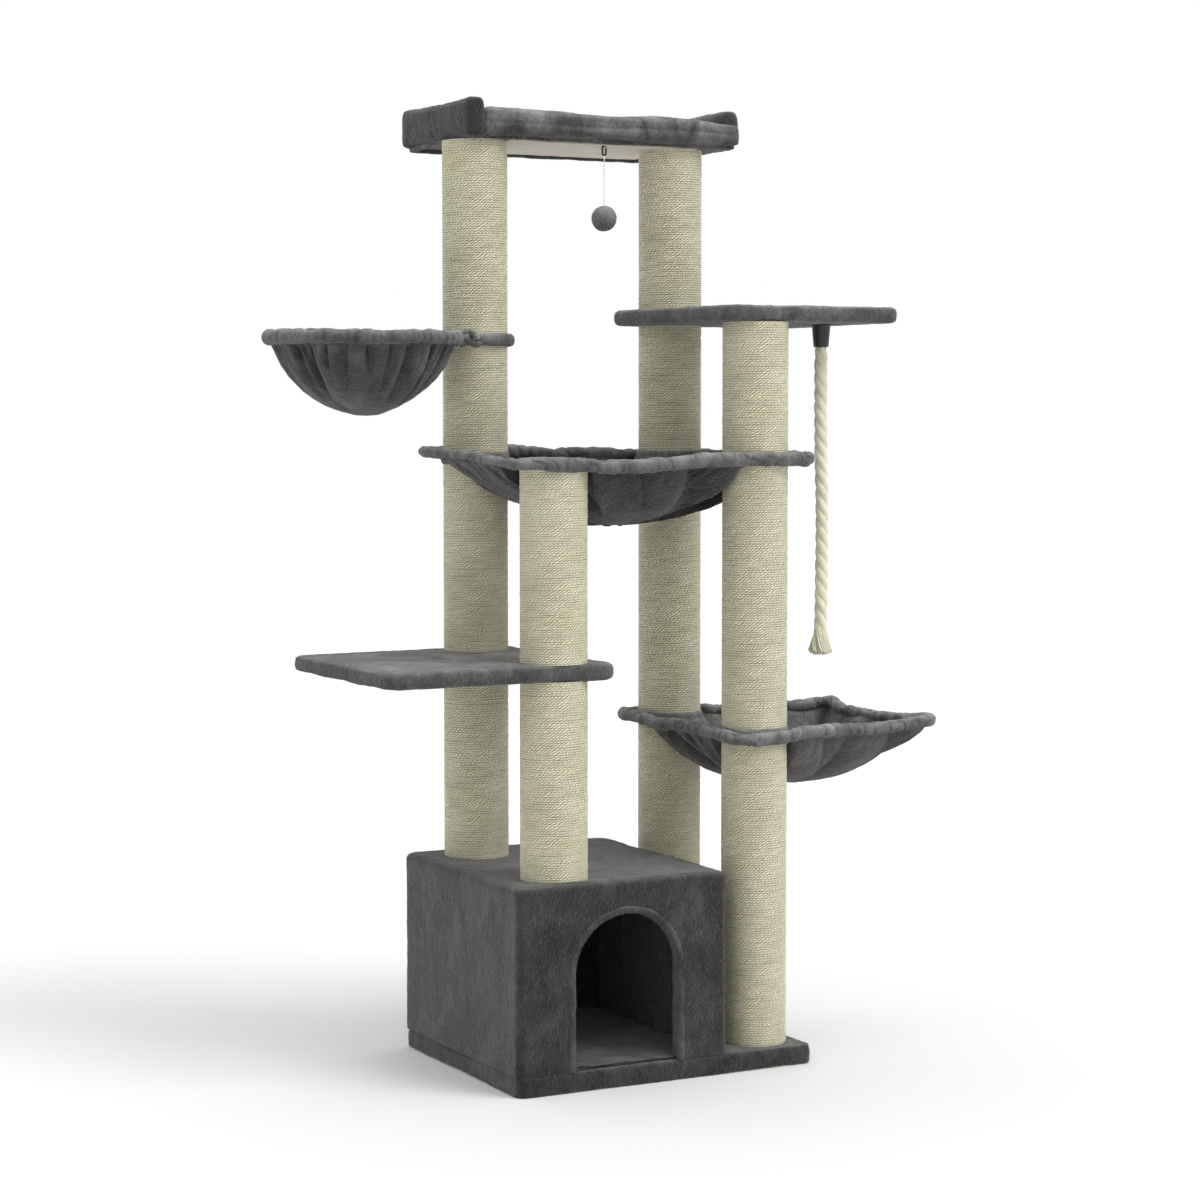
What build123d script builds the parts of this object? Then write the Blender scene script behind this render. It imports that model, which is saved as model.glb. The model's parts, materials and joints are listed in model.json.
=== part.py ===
"""Tall free-standing cat tree: a cave on a foot, four rope-wound posts, shelves, hammocks and a perch.

Frame: +Z up, +X to the right, +Y to the back, origin at the bottom centre of the foot. Millimetres.
"""

import os
from math import hypot, radians, tan

from build123d import *

os.makedirs("parts", exist_ok=True)

# ---------------------------------------------------------------- driving dimensions
PILE = 4  # plush cloth with its pile, glued over a board
GAP = 0.3  # clearance between soft pieces that only lean on each other

FOOT_W, FOOT_D, FOOT_T = 600, 480, 35
FOOT_CORNER = 22
FOOT_COVER_LIFT = 1  # the foot's cover ends just above the floor

POST_R = 60  # outside of the rope winding
ROPE_WOUND_T = 4.5
TUBE_WALL = 5.5
PLUG_T = 18
POST_X_LEFT, POST_X_RIGHT, POST_Y = -189.5, 221, 158

HOUSE_X0, HOUSE_X1, HOUSE_HALF_D = -298, 118, 236
HOUSE_TOP = 365
PANEL_T = 15
LINING_T = 2
FLOOR_MAT_T = 9
HOUSE_CORNER = 14

DOOR_X, DOOR_W, DOOR_H = -85, 208, 274
TRIM_W, TRIM_PROUD = 10, 4

SHELF_HALF_D = 218
LOWER_SHELF_Z = (718, 748)
LOWER_SHELF_X = (-535, -92)
UPPER_SHELF_Z = (1348, 1378)
UPPER_SHELF_X = (122, 499)
SHELF_CORNER = 26

FRAME_LOBE_R = 64  # disc of a hammock frame that a post clamps
FRAME_W = 22  # width of a hammock frame's ring
LOWER_HAMMOCK_Z = (592, 616)
MIDDLE_HAMMOCK_Z = (1090, 1114)
ROUND_HAMMOCK_Z = (1306, 1330)
BAG_CLOTH = 4
BAG_CLEAR = 2  # between a bag's mouth and the frame or the post discs round it
MIDDLE_HAMMOCK_X, MIDDLE_HAMMOCK_HALF_D, MIDDLE_HAMMOCK_CORNER = (-293, 323), 231, 50
MIDDLE_BAG_DEPTH = 112
LOWER_HAMMOCK_LEFT, LOWER_HAMMOCK_RIGHT = 137, 612
LOWER_HAMMOCK_HALF_D, LOWER_HAMMOCK_TIP_HALF_D = 234, 188
LOWER_HAMMOCK_SHOULDER = 300  # where the sides begin to run in towards the tips
LOWER_HAMMOCK_BOW = 36  # how far the free edge bows inwards
BOW_AT_HALF = 0.8  # part of that bow halfway to a tip
LOWER_BAG_DEPTH = 108

ROUND_X, ROUND_Y = -441, 92
ROUND_R = 178
RING_WIRE_R = 5
RING_SLEEVE_R = 12
ROUND_BAG_DEPTH = 124

PERCH_X, PERCH_Y, PERCH_Z = (-245, 335), (71, 372), 1680
PERCH_BOARD_T = 18
PERCH_DECK_T = PERCH_BOARD_T + 2 * PILE
PERCH_TOP = 1755
RAIL_W, RAIL_H = 38, 30
BOLSTER_W = 40
LINING_INSET = 16

STUD_R, STUD_GRIP, STUD_CLEAR = 4, 16, 0.15
WASHER_R, WASHER_T, WASHER_CLEAR = 12, 2, 1
BOLT_HEAD_R, BOLT_HEAD_T = 7.5, 5.5
COUNTERBORE_R, COUNTERBORE_DEPTH = 14, 10
SCREW_R, SCREW_HEAD_R, SCREW_HEAD_T, SCREW_LENGTH = 2.5, 4.5, 3, 42

TOY_X, TOY_Y = 51, 105
LOOP_WIRE_R, LOOP_HALF_W, LOOP_H = 1.2, 5, 20
STAPLE_WIRE_R, STAPLE_HALF_W, STAPLE_DROP, STAPLE_BITE = 0.8, 7, 6, 12
STRING_R, STRING_LENGTH = 1.25, 92
BALL_R = 23

ROPE_X, ROPE_Y = 400, -96
ROPE_R = 12.5
NECK_R = 12.2
FERRULE_TOP_R, FERRULE_MOUTH_R, FERRULE_H = 17.5, 14, 42
FERRULE_BORE_R, FERRULE_BORE_DEPTH = 12.8, 30
TASSEL_R, TASSEL_H = 21, 34
ROPE_SWAY = 5  # how far the hanging rope wanders from a plumb line
ROPE_END_SWAY = 2
ROPE_DROP = 538  # from under the ferrule to the frayed end
ROPE_BENDS = (0.27, 0.60)  # parts of that drop at which the rope changes direction
BEND_SHARE = 0.45  # part of a straight run that a bend at its end may take up

# ---------------------------------------------------------------- levels and post sections
HOUSE_Z = (FOOT_T, HOUSE_TOP)
PERCH_LEVEL = (PERCH_Z, PERCH_Z + PERCH_DECK_T)
FOOT_Z = (0, FOOT_T)

COLUMNS = {
    "back_left": ((POST_X_LEFT, POST_Y),
                  [HOUSE_Z, LOWER_SHELF_Z, MIDDLE_HAMMOCK_Z, ROUND_HAMMOCK_Z, PERCH_LEVEL]),
    "front_left": ((POST_X_LEFT, -POST_Y), [HOUSE_Z, LOWER_SHELF_Z, MIDDLE_HAMMOCK_Z]),
    "back_right": ((POST_X_RIGHT, POST_Y),
                   [FOOT_Z, LOWER_HAMMOCK_Z, MIDDLE_HAMMOCK_Z, UPPER_SHELF_Z, PERCH_LEVEL]),
    "front_right": ((POST_X_RIGHT, -POST_Y),
                    [FOOT_Z, LOWER_HAMMOCK_Z, MIDDLE_HAMMOCK_Z, UPPER_SHELF_Z]),
}
HOLE_R = STUD_R + STUD_CLEAR


def save(builder, name):
    """Label a finished piece and write it."""
    builder.part.label = name
    export_step(builder.part, f"parts/{name}.step")


def sections(levels):
    """The post sections of a column: from each level's top to the next level's underside."""
    return [(low[1], high[0]) for low, high in zip(levels, levels[1:])]


def posts_at(level):
    """Centres of the posts that stand on a level or carry it."""
    return [centre for centre, levels in COLUMNS.values() if level in levels]


def studs():
    """Centre, bottom and top of each threaded stud: one through every level between two sections."""
    found = []
    for centre, levels in COLUMNS.values():
        for level in levels[1:-1]:
            found.append((centre, level[0] - STUD_GRIP, level[1] + STUD_GRIP))
        last = levels[-1]
        found.append((centre, last[0] - STUD_GRIP, last[1] - 2 * PILE))
    return found


def bolts():
    """Centre, washer seat and top of each bolt that holds a column's lowest section from below."""
    found = []
    for centre, levels in COLUMNS.values():
        seat = COUNTERBORE_DEPTH if levels[0] == FOOT_Z else HOUSE_TOP - PILE - PANEL_T
        found.append((centre, seat, levels[0][1] + STUD_GRIP))
    return found


def box(x, y, z, mode=Mode.ADD):
    """A block between two corners, given as (low, high) along each axis."""
    with Locations(((x[0] + x[1]) / 2, (y[0] + y[1]) / 2, (z[0] + z[1]) / 2)):
        return Box(x[1] - x[0], y[1] - y[0], z[1] - z[0], mode=mode)


def cut_stud_holes(level, z0, z1, through_only=False):
    """Clearance holes for the studs of the posts at a level, or only of those that carry on above it."""
    centres = [centre for centre, levels in COLUMNS.values()
               if level in levels and not (through_only and level == levels[-1])]
    with BuildSketch(Plane.XY.offset(z0)) as holes:
        with Locations(*centres):
            Circle(HOLE_R)
    extrude(holes.sketch, amount=z1 - z0, mode=Mode.SUBTRACT)


# ---------------------------------------------------------------- foot
with BuildPart() as base_board:
    with BuildSketch():
        Rectangle(FOOT_W - 2 * PILE, FOOT_D - 2 * PILE)
        fillet(vertices(), FOOT_CORNER - PILE)
    extrude(amount=FOOT_T - PILE)
    with BuildSketch():
        with Locations(*posts_at(FOOT_Z)):
            Circle(COUNTERBORE_R)
    extrude(amount=COUNTERBORE_DEPTH, mode=Mode.SUBTRACT)
    cut_stud_holes(FOOT_Z, 0, FOOT_T)
save(base_board, "base_board")

with BuildPart() as base_cover:
    with BuildSketch(Plane.XY.offset(FOOT_COVER_LIFT)):
        Rectangle(FOOT_W, FOOT_D)
        fillet(vertices(), FOOT_CORNER)
    extrude(amount=FOOT_T - FOOT_COVER_LIFT)
    fillet(base_cover.faces().sort_by(Axis.Z)[-1].edges(), PILE)
    with BuildSketch():
        Rectangle(FOOT_W - 2 * PILE, FOOT_D - 2 * PILE)
        fillet(vertices(), FOOT_CORNER - PILE)
    extrude(amount=FOOT_T - PILE, mode=Mode.SUBTRACT)
    cut_stud_holes(FOOT_Z, 0, FOOT_T)
save(base_cover, "base_cover")

# ---------------------------------------------------------------- house
IN_X = (HOUSE_X0 + PILE, HOUSE_X1 - PILE)  # outside faces of the panels
IN_Y = (-HOUSE_HALF_D + PILE, HOUSE_HALF_D - PILE)
ROOM_X = (IN_X[0] + PANEL_T, IN_X[1] - PANEL_T)  # inside faces of the panels
ROOM_Y = (IN_Y[0] + PANEL_T, IN_Y[1] - PANEL_T)
TOP_PANEL_Z = (HOUSE_TOP - PILE - PANEL_T, HOUSE_TOP - PILE)
WALL_Z = (FOOT_T, TOP_PANEL_Z[0])
SCREW_INSET = 60


def door_arch(grow):
    """Profile of the doorway in the front wall's plane, grown by a margin at the sides and top."""
    radius = DOOR_W / 2 + grow
    spring = FOOT_T + DOOR_H - DOOR_W / 2
    with BuildSketch(Plane.XZ, mode=Mode.PRIVATE) as arch:
        with BuildLine():
            Line((DOOR_X - radius, FOOT_T), (DOOR_X + radius, FOOT_T))
            Line((DOOR_X + radius, FOOT_T), (DOOR_X + radius, spring))
            RadiusArc((DOOR_X + radius, spring), (DOOR_X, spring + radius), -radius)
            RadiusArc((DOOR_X, spring + radius), (DOOR_X - radius, spring), -radius)
            Line((DOOR_X - radius, spring), (DOOR_X - radius, FOOT_T))
        make_face()
    return arch.sketch


def wall_screws():
    """Centres of the screws that come down through the top panel into the side walls."""
    xs = (IN_X[0] + PANEL_T / 2, IN_X[1] - PANEL_T / 2)
    ys = (IN_Y[0] + SCREW_INSET, 0, IN_Y[1] - SCREW_INSET)
    return [(x, y) for x in xs for y in ys]


def cut_screw_holes():
    """Pilot holes of the top screws, with their head recesses."""
    for radius, length in ((SCREW_R, SCREW_LENGTH), (SCREW_HEAD_R, SCREW_HEAD_T)):
        with BuildSketch(Plane.XY.offset(TOP_PANEL_Z[1] - length)) as holes:
            with Locations(*wall_screws()):
                Circle(radius)
        extrude(holes.sketch, amount=length, mode=Mode.SUBTRACT)


arch_hole = door_arch(TRIM_W)
for side, panel_x in (("left", (IN_X[0], ROOM_X[0])), ("right", (ROOM_X[1], IN_X[1]))):
    with BuildPart() as side_panel:
        box(panel_x, IN_Y, WALL_Z)
        cut_screw_holes()
    save(side_panel, f"house_{side}_panel")

with BuildPart() as house_back_panel:
    box(ROOM_X, (ROOM_Y[1], IN_Y[1]), WALL_Z)
save(house_back_panel, "house_back_panel")

with BuildPart() as house_front_panel:
    box(ROOM_X, (IN_Y[0], ROOM_Y[0]), WALL_Z)
    extrude(arch_hole, amount=HOUSE_HALF_D, mode=Mode.SUBTRACT)
save(house_front_panel, "house_front_panel")

with BuildPart() as house_top_panel:
    box(IN_X, IN_Y, TOP_PANEL_Z)
    cut_stud_holes(HOUSE_Z, *TOP_PANEL_Z)
    cut_screw_holes()
save(house_top_panel, "house_top_panel")

with BuildPart() as house_screws:
    with BuildSketch(Plane.XY.offset(TOP_PANEL_Z[1] - SCREW_LENGTH)):
        with Locations(*wall_screws()):
            Circle(SCREW_R)
    extrude(amount=SCREW_LENGTH)
    with BuildSketch(Plane.XY.offset(TOP_PANEL_Z[1] - SCREW_HEAD_T)):
        with Locations(*wall_screws()):
            Circle(SCREW_HEAD_R)
    extrude(amount=SCREW_HEAD_T)
save(house_screws, "house_screws")

with BuildPart() as house_cover:
    with BuildSketch(Plane.XY.offset(FOOT_T)):
        with Locations(((HOUSE_X0 + HOUSE_X1) / 2, 0)):
            Rectangle(HOUSE_X1 - HOUSE_X0, 2 * HOUSE_HALF_D)
    extrude(amount=HOUSE_TOP - FOOT_T)
    fillet(house_cover.edges().filter_by(Axis.Z) + house_cover.edges().group_by(Axis.Z)[-1], PILE)
    box(IN_X, IN_Y, (FOOT_T, TOP_PANEL_Z[1]), mode=Mode.SUBTRACT)
    extrude(arch_hole, amount=HOUSE_HALF_D + 1, mode=Mode.SUBTRACT)
    cut_stud_holes(HOUSE_Z, TOP_PANEL_Z[1], HOUSE_TOP)
save(house_cover, "house_cover")

with BuildPart() as house_lining:
    box(ROOM_X, ROOM_Y, WALL_Z)
    box((ROOM_X[0] + LINING_T, ROOM_X[1] - LINING_T), (ROOM_Y[0] + LINING_T, ROOM_Y[1] - LINING_T),
        (WALL_Z[0], WALL_Z[1] - LINING_T), mode=Mode.SUBTRACT)
    extrude(arch_hole, amount=HOUSE_HALF_D, mode=Mode.SUBTRACT)
    with BuildSketch(Plane.XY.offset(WALL_Z[1] - LINING_T)):
        with Locations(*posts_at(HOUSE_Z)):
            Circle(WASHER_R + WASHER_CLEAR)
    extrude(amount=LINING_T, mode=Mode.SUBTRACT)
save(house_lining, "house_lining")

MAT_MARGIN = LINING_T + GAP
with BuildPart() as house_floor_mat:
    box((ROOM_X[0] + MAT_MARGIN, ROOM_X[1] - MAT_MARGIN), (ROOM_Y[0] + MAT_MARGIN, ROOM_Y[1] - MAT_MARGIN),
        (FOOT_T, FOOT_T + FLOOR_MAT_T))
    fillet(house_floor_mat.faces().sort_by(Axis.Z)[-1].edges(), PILE)
save(house_floor_mat, "house_floor_mat")

# The bound edge of the doorway covers the cut edges of the cloth, the panel and the lining.
with BuildPart() as arch_trim:
    with BuildSketch(Plane.XZ.offset(ROOM_Y[0] * -1 - LINING_T)):
        add(door_arch(TRIM_W))
        add(door_arch(0), mode=Mode.SUBTRACT)
    extrude(amount=HOUSE_HALF_D + TRIM_PROUD + ROOM_Y[0] + LINING_T)
save(arch_trim, "arch_trim")

# ---------------------------------------------------------------- posts
TUBE_R = POST_R - ROPE_WOUND_T
PLUG_R = TUBE_R - TUBE_WALL
plug_seats = []
with BuildPart() as post_tubes:
    for centre, levels in COLUMNS.values():
        for low, high in sections(levels):
            with BuildSketch(Plane.XY.offset(low)):
                with Locations(centre):
                    Circle(TUBE_R)
                    Circle(PLUG_R, mode=Mode.SUBTRACT)
            extrude(amount=high - low)
save(post_tubes, "post_tubes")

for column, (centre, levels) in COLUMNS.items():
    for number, (low, high) in enumerate(sections(levels), start=1):
        with BuildPart() as winding:
            with BuildSketch(Plane.XY.offset(low)):
                with Locations(centre):
                    Circle(POST_R)
                    Circle(TUBE_R, mode=Mode.SUBTRACT)
            extrude(amount=high - low)
        save(winding, f"sisal_{column}_{number}")
        plug_seats += [(centre, low), (centre, high - PLUG_T)]

with BuildPart() as post_end_plugs:
    for centre, bottom in plug_seats:
        with BuildSketch(Plane.XY.offset(bottom)):
            with Locations(centre):
                Circle(PLUG_R)
                Circle(HOLE_R, mode=Mode.SUBTRACT)
        extrude(amount=PLUG_T)
save(post_end_plugs, "post_end_plugs")

with BuildPart() as post_studs:
    for centre, bottom, top in studs():
        with BuildSketch(Plane.XY.offset(bottom)):
            with Locations(centre):
                Circle(STUD_R)
        extrude(amount=top - bottom)
save(post_studs, "post_studs")

with BuildPart() as post_washers:
    for centre, seat, top in bolts():
        with BuildSketch(Plane.XY.offset(seat - WASHER_T)):
            with Locations(centre):
                Circle(WASHER_R)
                Circle(HOLE_R, mode=Mode.SUBTRACT)
        extrude(amount=WASHER_T)
save(post_washers, "post_washers")

with BuildPart() as post_bolts:
    for centre, seat, top in bolts():
        head = seat - WASHER_T - BOLT_HEAD_T
        with BuildSketch(Plane.XY.offset(head)):
            with Locations(centre):
                RegularPolygon(BOLT_HEAD_R, 6)
        extrude(amount=BOLT_HEAD_T)
        with BuildSketch(Plane.XY.offset(head)):
            with Locations(centre):
                Circle(STUD_R)
        extrude(amount=top - head)
save(post_bolts, "post_bolts")


# ---------------------------------------------------------------- shelves
def shelf(name, x, z):
    """A shelf board wrapped in plush, with the stud holes of the posts at its level."""
    core_z = (z[0] + PILE, z[1] - PILE)
    middle = ((x[0] + x[1]) / 2, 0)
    width = x[1] - x[0]
    with BuildPart() as board:
        with BuildSketch(Plane.XY.offset(core_z[0])):
            with Locations(middle):
                Rectangle(width - 2 * PILE, 2 * (SHELF_HALF_D - PILE))
            fillet(vertices(), SHELF_CORNER - PILE)
        extrude(amount=core_z[1] - core_z[0])
        cut_stud_holes(z, *core_z)
    save(board, f"{name}_board")
    with BuildPart() as cover:
        with BuildSketch(Plane.XY.offset(z[0])):
            with Locations(middle):
                Rectangle(width, 2 * SHELF_HALF_D)
            fillet(vertices(), SHELF_CORNER)
        extrude(amount=z[1] - z[0])
        fillet(cover.faces().sort_by(Axis.Z)[-1].edges() + cover.faces().sort_by(Axis.Z)[0].edges(), PILE)
        with BuildSketch(Plane.XY.offset(core_z[0])):
            with Locations(middle):
                Rectangle(width - 2 * PILE, 2 * (SHELF_HALF_D - PILE))
            fillet(vertices(), SHELF_CORNER - PILE)
        extrude(amount=core_z[1] - core_z[0], mode=Mode.SUBTRACT)
        cut_stud_holes(z, z[0], core_z[0])
        cut_stud_holes(z, core_z[1], z[1], through_only=True)
    save(cover, f"{name}_cover")


shelf("lower_shelf", LOWER_SHELF_X, LOWER_SHELF_Z)
shelf("upper_shelf", UPPER_SHELF_X, UPPER_SHELF_Z)


# ---------------------------------------------------------------- hammocks held between posts
def middle_outline(inset):
    """Outline of the middle hammock, moved inwards by a distance."""
    x0, x1 = MIDDLE_HAMMOCK_X
    with BuildSketch(mode=Mode.PRIVATE) as outline:
        with Locations(((x0 + x1) / 2, 0)):
            Rectangle(x1 - x0 - 2 * inset, 2 * (MIDDLE_HAMMOCK_HALF_D - inset))
        fillet(vertices(), MIDDLE_HAMMOCK_CORNER - inset)
    return outline.sketch


def lower_outline(inset):
    """Outline of the lower hammock, moved inwards by a distance. Its free edge bows in."""
    left = LOWER_HAMMOCK_LEFT + inset
    right = LOWER_HAMMOCK_RIGHT - inset
    side = LOWER_HAMMOCK_HALF_D - inset
    tip = LOWER_HAMMOCK_TIP_HALF_D - inset
    with BuildSketch(mode=Mode.PRIVATE) as outline:
        with BuildLine():
            Polyline((right, -tip), (LOWER_HAMMOCK_SHOULDER, -side), (left, -side), (left, side),
                     (LOWER_HAMMOCK_SHOULDER, side), (right, tip))
            ThreePointArc((right, tip), (right - LOWER_HAMMOCK_BOW, 0), (right, -tip))
        make_face()
        fillet(vertices().sort_by(Axis.X)[-2:], PILE * 2)
        fillet(vertices().sort_by(Axis.X)[:2], FRAME_W)
    return outline.sketch


def opening(outline, level, inset):
    """The open middle of a hammock frame: its outline moved inwards, less a disc around each post."""
    with BuildSketch(mode=Mode.PRIVATE) as hole:
        add(outline(FRAME_W - PILE + inset))
        with Locations(*posts_at(level)):
            Circle(FRAME_LOBE_R + inset, mode=Mode.SUBTRACT)
    return hole.sketch.faces().sort_by(SortBy.AREA)[-1]


def bag_corners(level):
    """Corners of the bag's mouth: it fills the frame and is cut out square around each post."""
    clear = FRAME_LOBE_R + PILE + BAG_CLEAR / 2
    notch_y = POST_Y - clear
    rim = FRAME_W + BAG_CLEAR
    if level == MIDDLE_HAMMOCK_Z:
        x0, x1 = MIDDLE_HAMMOCK_X[0] + rim, MIDDLE_HAMMOCK_X[1] - rim
        side = MIDDLE_HAMMOCK_HALF_D - rim
        inner0, inner1 = POST_X_LEFT + clear, POST_X_RIGHT - clear
        half = [(inner0, -side), (inner1, -side), (inner1, -notch_y), (x1, -notch_y)]
        first = [(x0, -notch_y), (inner0, -notch_y)]
        return [*first, *half, *[(x, -y) for x, y in reversed(first + half)]]
    x0, x1 = LOWER_HAMMOCK_LEFT + rim, LOWER_HAMMOCK_RIGHT - rim
    inner = POST_X_RIGHT + clear
    side, tip = LOWER_HAMMOCK_HALF_D - rim - 2 * PILE, LOWER_HAMMOCK_TIP_HALF_D - rim - 2 * PILE
    free_edge = [(x1 - BAG_CLOTH - BAG_CLEAR, -tip), (x1 - BOW_AT_HALF * LOWER_HAMMOCK_BOW, -tip / 2)]
    half = [(x0, -notch_y), (inner, -notch_y), (inner, -side), *free_edge]
    return [*half, (x1 - LOWER_HAMMOCK_BOW - BAG_CLEAR, 0), *[(x, -y) for x, y in reversed(half)]]


BAG_PROFILE = ((0.0, 1.0), (0.4, 0.93), (0.75, 0.75), (1.0, 0.42))  # part of the depth, part of the width


def bag_levels(corners, top, depth, shrink):
    """The scaled mouths of a bag, one sketch at each height of its profile."""
    middle_x = (min(x for x, y in corners) + max(x for x, y in corners)) / 2
    stack = []
    for fall, width in BAG_PROFILE:
        scale = width - shrink
        with BuildSketch(Plane.XY.offset(top - fall * depth), mode=Mode.PRIVATE) as mouth:
            with BuildLine():
                Polyline(*[(middle_x + (x - middle_x) * scale, y * scale) for x, y in corners], close=True)
            make_face()
        stack.append(mouth.sketch)
    return stack


def post_hammock(name, level, outline, depth):
    """Frame, plush sleeve and hanging bag of a hammock whose frame is clamped between post sections."""
    core_z = (level[0] + PILE, level[1] - PILE)
    frame_hole = opening(outline, level, 0)
    sleeve_hole = opening(outline, level, PILE)
    with BuildPart() as frame:
        with BuildSketch(Plane.XY.offset(core_z[0])):
            add(outline(PILE))
            add(frame_hole, mode=Mode.SUBTRACT)
        extrude(amount=core_z[1] - core_z[0])
        cut_stud_holes(level, *core_z)
    save(frame, f"{name}_frame")
    with BuildPart() as sleeve:
        with BuildSketch(Plane.XY.offset(level[0])):
            add(outline(0))
            add(sleeve_hole, mode=Mode.SUBTRACT)
        extrude(amount=level[1] - level[0])
        with BuildSketch(Plane.XY.offset(core_z[0])):
            add(outline(PILE))
            add(frame_hole, mode=Mode.SUBTRACT)
        extrude(amount=core_z[1] - core_z[0], mode=Mode.SUBTRACT)
        cut_stud_holes(level, *level)
    save(sleeve, f"{name}_sleeve")
    corners = bag_corners(level)
    top = level[1] - 2 * PILE
    with BuildPart() as bag:
        loft(bag_levels(corners, top, depth + top - level[0], 0), ruled=True)
        loft(bag_levels(corners, top + BAG_CLOTH, depth + top - level[0], BAG_CLOTH / 100),
             ruled=True, mode=Mode.SUBTRACT)
    save(bag, f"{name}_bag")


post_hammock("middle_hammock", MIDDLE_HAMMOCK_Z, middle_outline, MIDDLE_BAG_DEPTH)
post_hammock("lower_hammock", LOWER_HAMMOCK_Z, lower_outline, LOWER_BAG_DEPTH)

# ---------------------------------------------------------------- round hammock
ring_z = sum(ROUND_HAMMOCK_Z) / 2
arm_run = (POST_X_LEFT - ROUND_X, POST_Y - ROUND_Y)
arm_length = hypot(*arm_run)
ring_r = ROUND_R - RING_SLEEVE_R
ring_plane = Plane(origin=(ROUND_X, ROUND_Y, ring_z))
arm_plane = Plane(origin=(ROUND_X, ROUND_Y, ring_z), z_dir=(*arm_run, 0))
COLLAR_COVER_R = FRAME_LOBE_R + PILE
ARM_BITE = 40  # how deep the arm sits in the collar
ARM_CLEAR = 1


def ring_and_arm(radius, arm_end, mode=Mode.ADD):
    """A ring with a short straight arm towards the post, both round in section."""
    with Locations(ring_plane):
        Torus(ring_r, radius, mode=mode)
    with BuildSketch(arm_plane.offset(ring_r)) as arm:
        Circle(radius)
    extrude(arm.sketch, amount=arm_end - ring_r, mode=mode)


with BuildPart() as round_hammock_ring:
    ring_and_arm(RING_WIRE_R, arm_length - FRAME_LOBE_R + ARM_BITE)
save(round_hammock_ring, "round_hammock_ring")

with BuildPart() as round_hammock_sleeve:
    ring_and_arm(RING_SLEEVE_R, arm_length - COLLAR_COVER_R - ARM_CLEAR)
    ring_and_arm(RING_WIRE_R, arm_length, mode=Mode.SUBTRACT)
save(round_hammock_sleeve, "round_hammock_sleeve")

collar_z = (ROUND_HAMMOCK_Z[0] + PILE, ROUND_HAMMOCK_Z[1] - PILE)
with BuildPart() as round_hammock_collar:
    with BuildSketch(Plane.XY.offset(collar_z[0])):
        with Locations(*posts_at(ROUND_HAMMOCK_Z)):
            Circle(FRAME_LOBE_R)
    extrude(amount=collar_z[1] - collar_z[0])
    with BuildSketch(arm_plane.offset(ring_r)):
        Circle(RING_WIRE_R)
    extrude(amount=arm_length - FRAME_LOBE_R + ARM_BITE - ring_r, mode=Mode.SUBTRACT)
    cut_stud_holes(ROUND_HAMMOCK_Z, *collar_z)
save(round_hammock_collar, "round_hammock_collar")

with BuildPart() as round_hammock_collar_cover:
    with BuildSketch(Plane.XY.offset(ROUND_HAMMOCK_Z[0])):
        with Locations(*posts_at(ROUND_HAMMOCK_Z)):
            Circle(COLLAR_COVER_R)
    extrude(amount=ROUND_HAMMOCK_Z[1] - ROUND_HAMMOCK_Z[0])
    with BuildSketch(Plane.XY.offset(collar_z[0])):
        with Locations(*posts_at(ROUND_HAMMOCK_Z)):
            Circle(FRAME_LOBE_R)
    extrude(amount=collar_z[1] - collar_z[0], mode=Mode.SUBTRACT)
    with BuildSketch(arm_plane.offset(ring_r)):
        Circle(RING_WIRE_R)
    extrude(amount=arm_length - ring_r, mode=Mode.SUBTRACT)
    cut_stud_holes(ROUND_HAMMOCK_Z, *ROUND_HAMMOCK_Z)
save(round_hammock_collar_cover, "round_hammock_collar_cover")

bowl_top = ROUND_HAMMOCK_Z[0] - GAP
bowl_r = ring_r + BAG_CLOTH
bowl_sphere_r = (bowl_r**2 + ROUND_BAG_DEPTH**2) / (2 * ROUND_BAG_DEPTH)
bowl_centre_z = bowl_top - ROUND_BAG_DEPTH + bowl_sphere_r
with BuildPart() as round_hammock_bag:
    with Locations((ROUND_X, ROUND_Y, bowl_centre_z)):
        Sphere(bowl_sphere_r)
        Sphere(bowl_sphere_r - BAG_CLOTH, mode=Mode.SUBTRACT)
    split(bisect_by=Plane.XY.offset(bowl_top), keep=Keep.BOTTOM)
save(round_hammock_bag, "round_hammock_bag")

# ---------------------------------------------------------------- perch
deck_z = (PERCH_Z + PILE, PERCH_Z + PILE + PERCH_BOARD_T)
rail_z = PERCH_Z + PERCH_DECK_T
perch_core_x = (PERCH_X[0] + PILE, PERCH_X[1] - PILE)
perch_core_y = (PERCH_Y[0] + PILE, PERCH_Y[1] - PILE)
lining_x = (PERCH_X[0] + LINING_INSET, PERCH_X[1] - LINING_INSET)
lining_y = (PERCH_Y[0] + LINING_INSET, PERCH_Y[1] - LINING_INSET)
staple_z = PERCH_Z - STAPLE_DROP


def cut_staple_holes():
    """The two holes that the toy's staple is driven into."""
    for side in (-STAPLE_HALF_W, STAPLE_HALF_W):
        with BuildSketch(Plane.XY.offset(PERCH_Z)) as hole:
            with Locations((TOY_X, TOY_Y + side)):
                Circle(STAPLE_WIRE_R)
        extrude(hole.sketch, amount=STAPLE_BITE, mode=Mode.SUBTRACT)


with BuildPart() as perch_board:
    box(perch_core_x, perch_core_y, deck_z)
    cut_stud_holes(PERCH_LEVEL, *deck_z)
    cut_staple_holes()
save(perch_board, "perch_board")

with BuildPart() as perch_cover:
    box(PERCH_X, PERCH_Y, (PERCH_Z, rail_z))
    fillet(perch_cover.edges().filter_by(Axis.Z), PILE)
    box(perch_core_x, perch_core_y, deck_z, mode=Mode.SUBTRACT)
    box(lining_x, lining_y, (PERCH_Z, deck_z[0]), mode=Mode.SUBTRACT)
save(perch_cover, "perch_cover")

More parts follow.
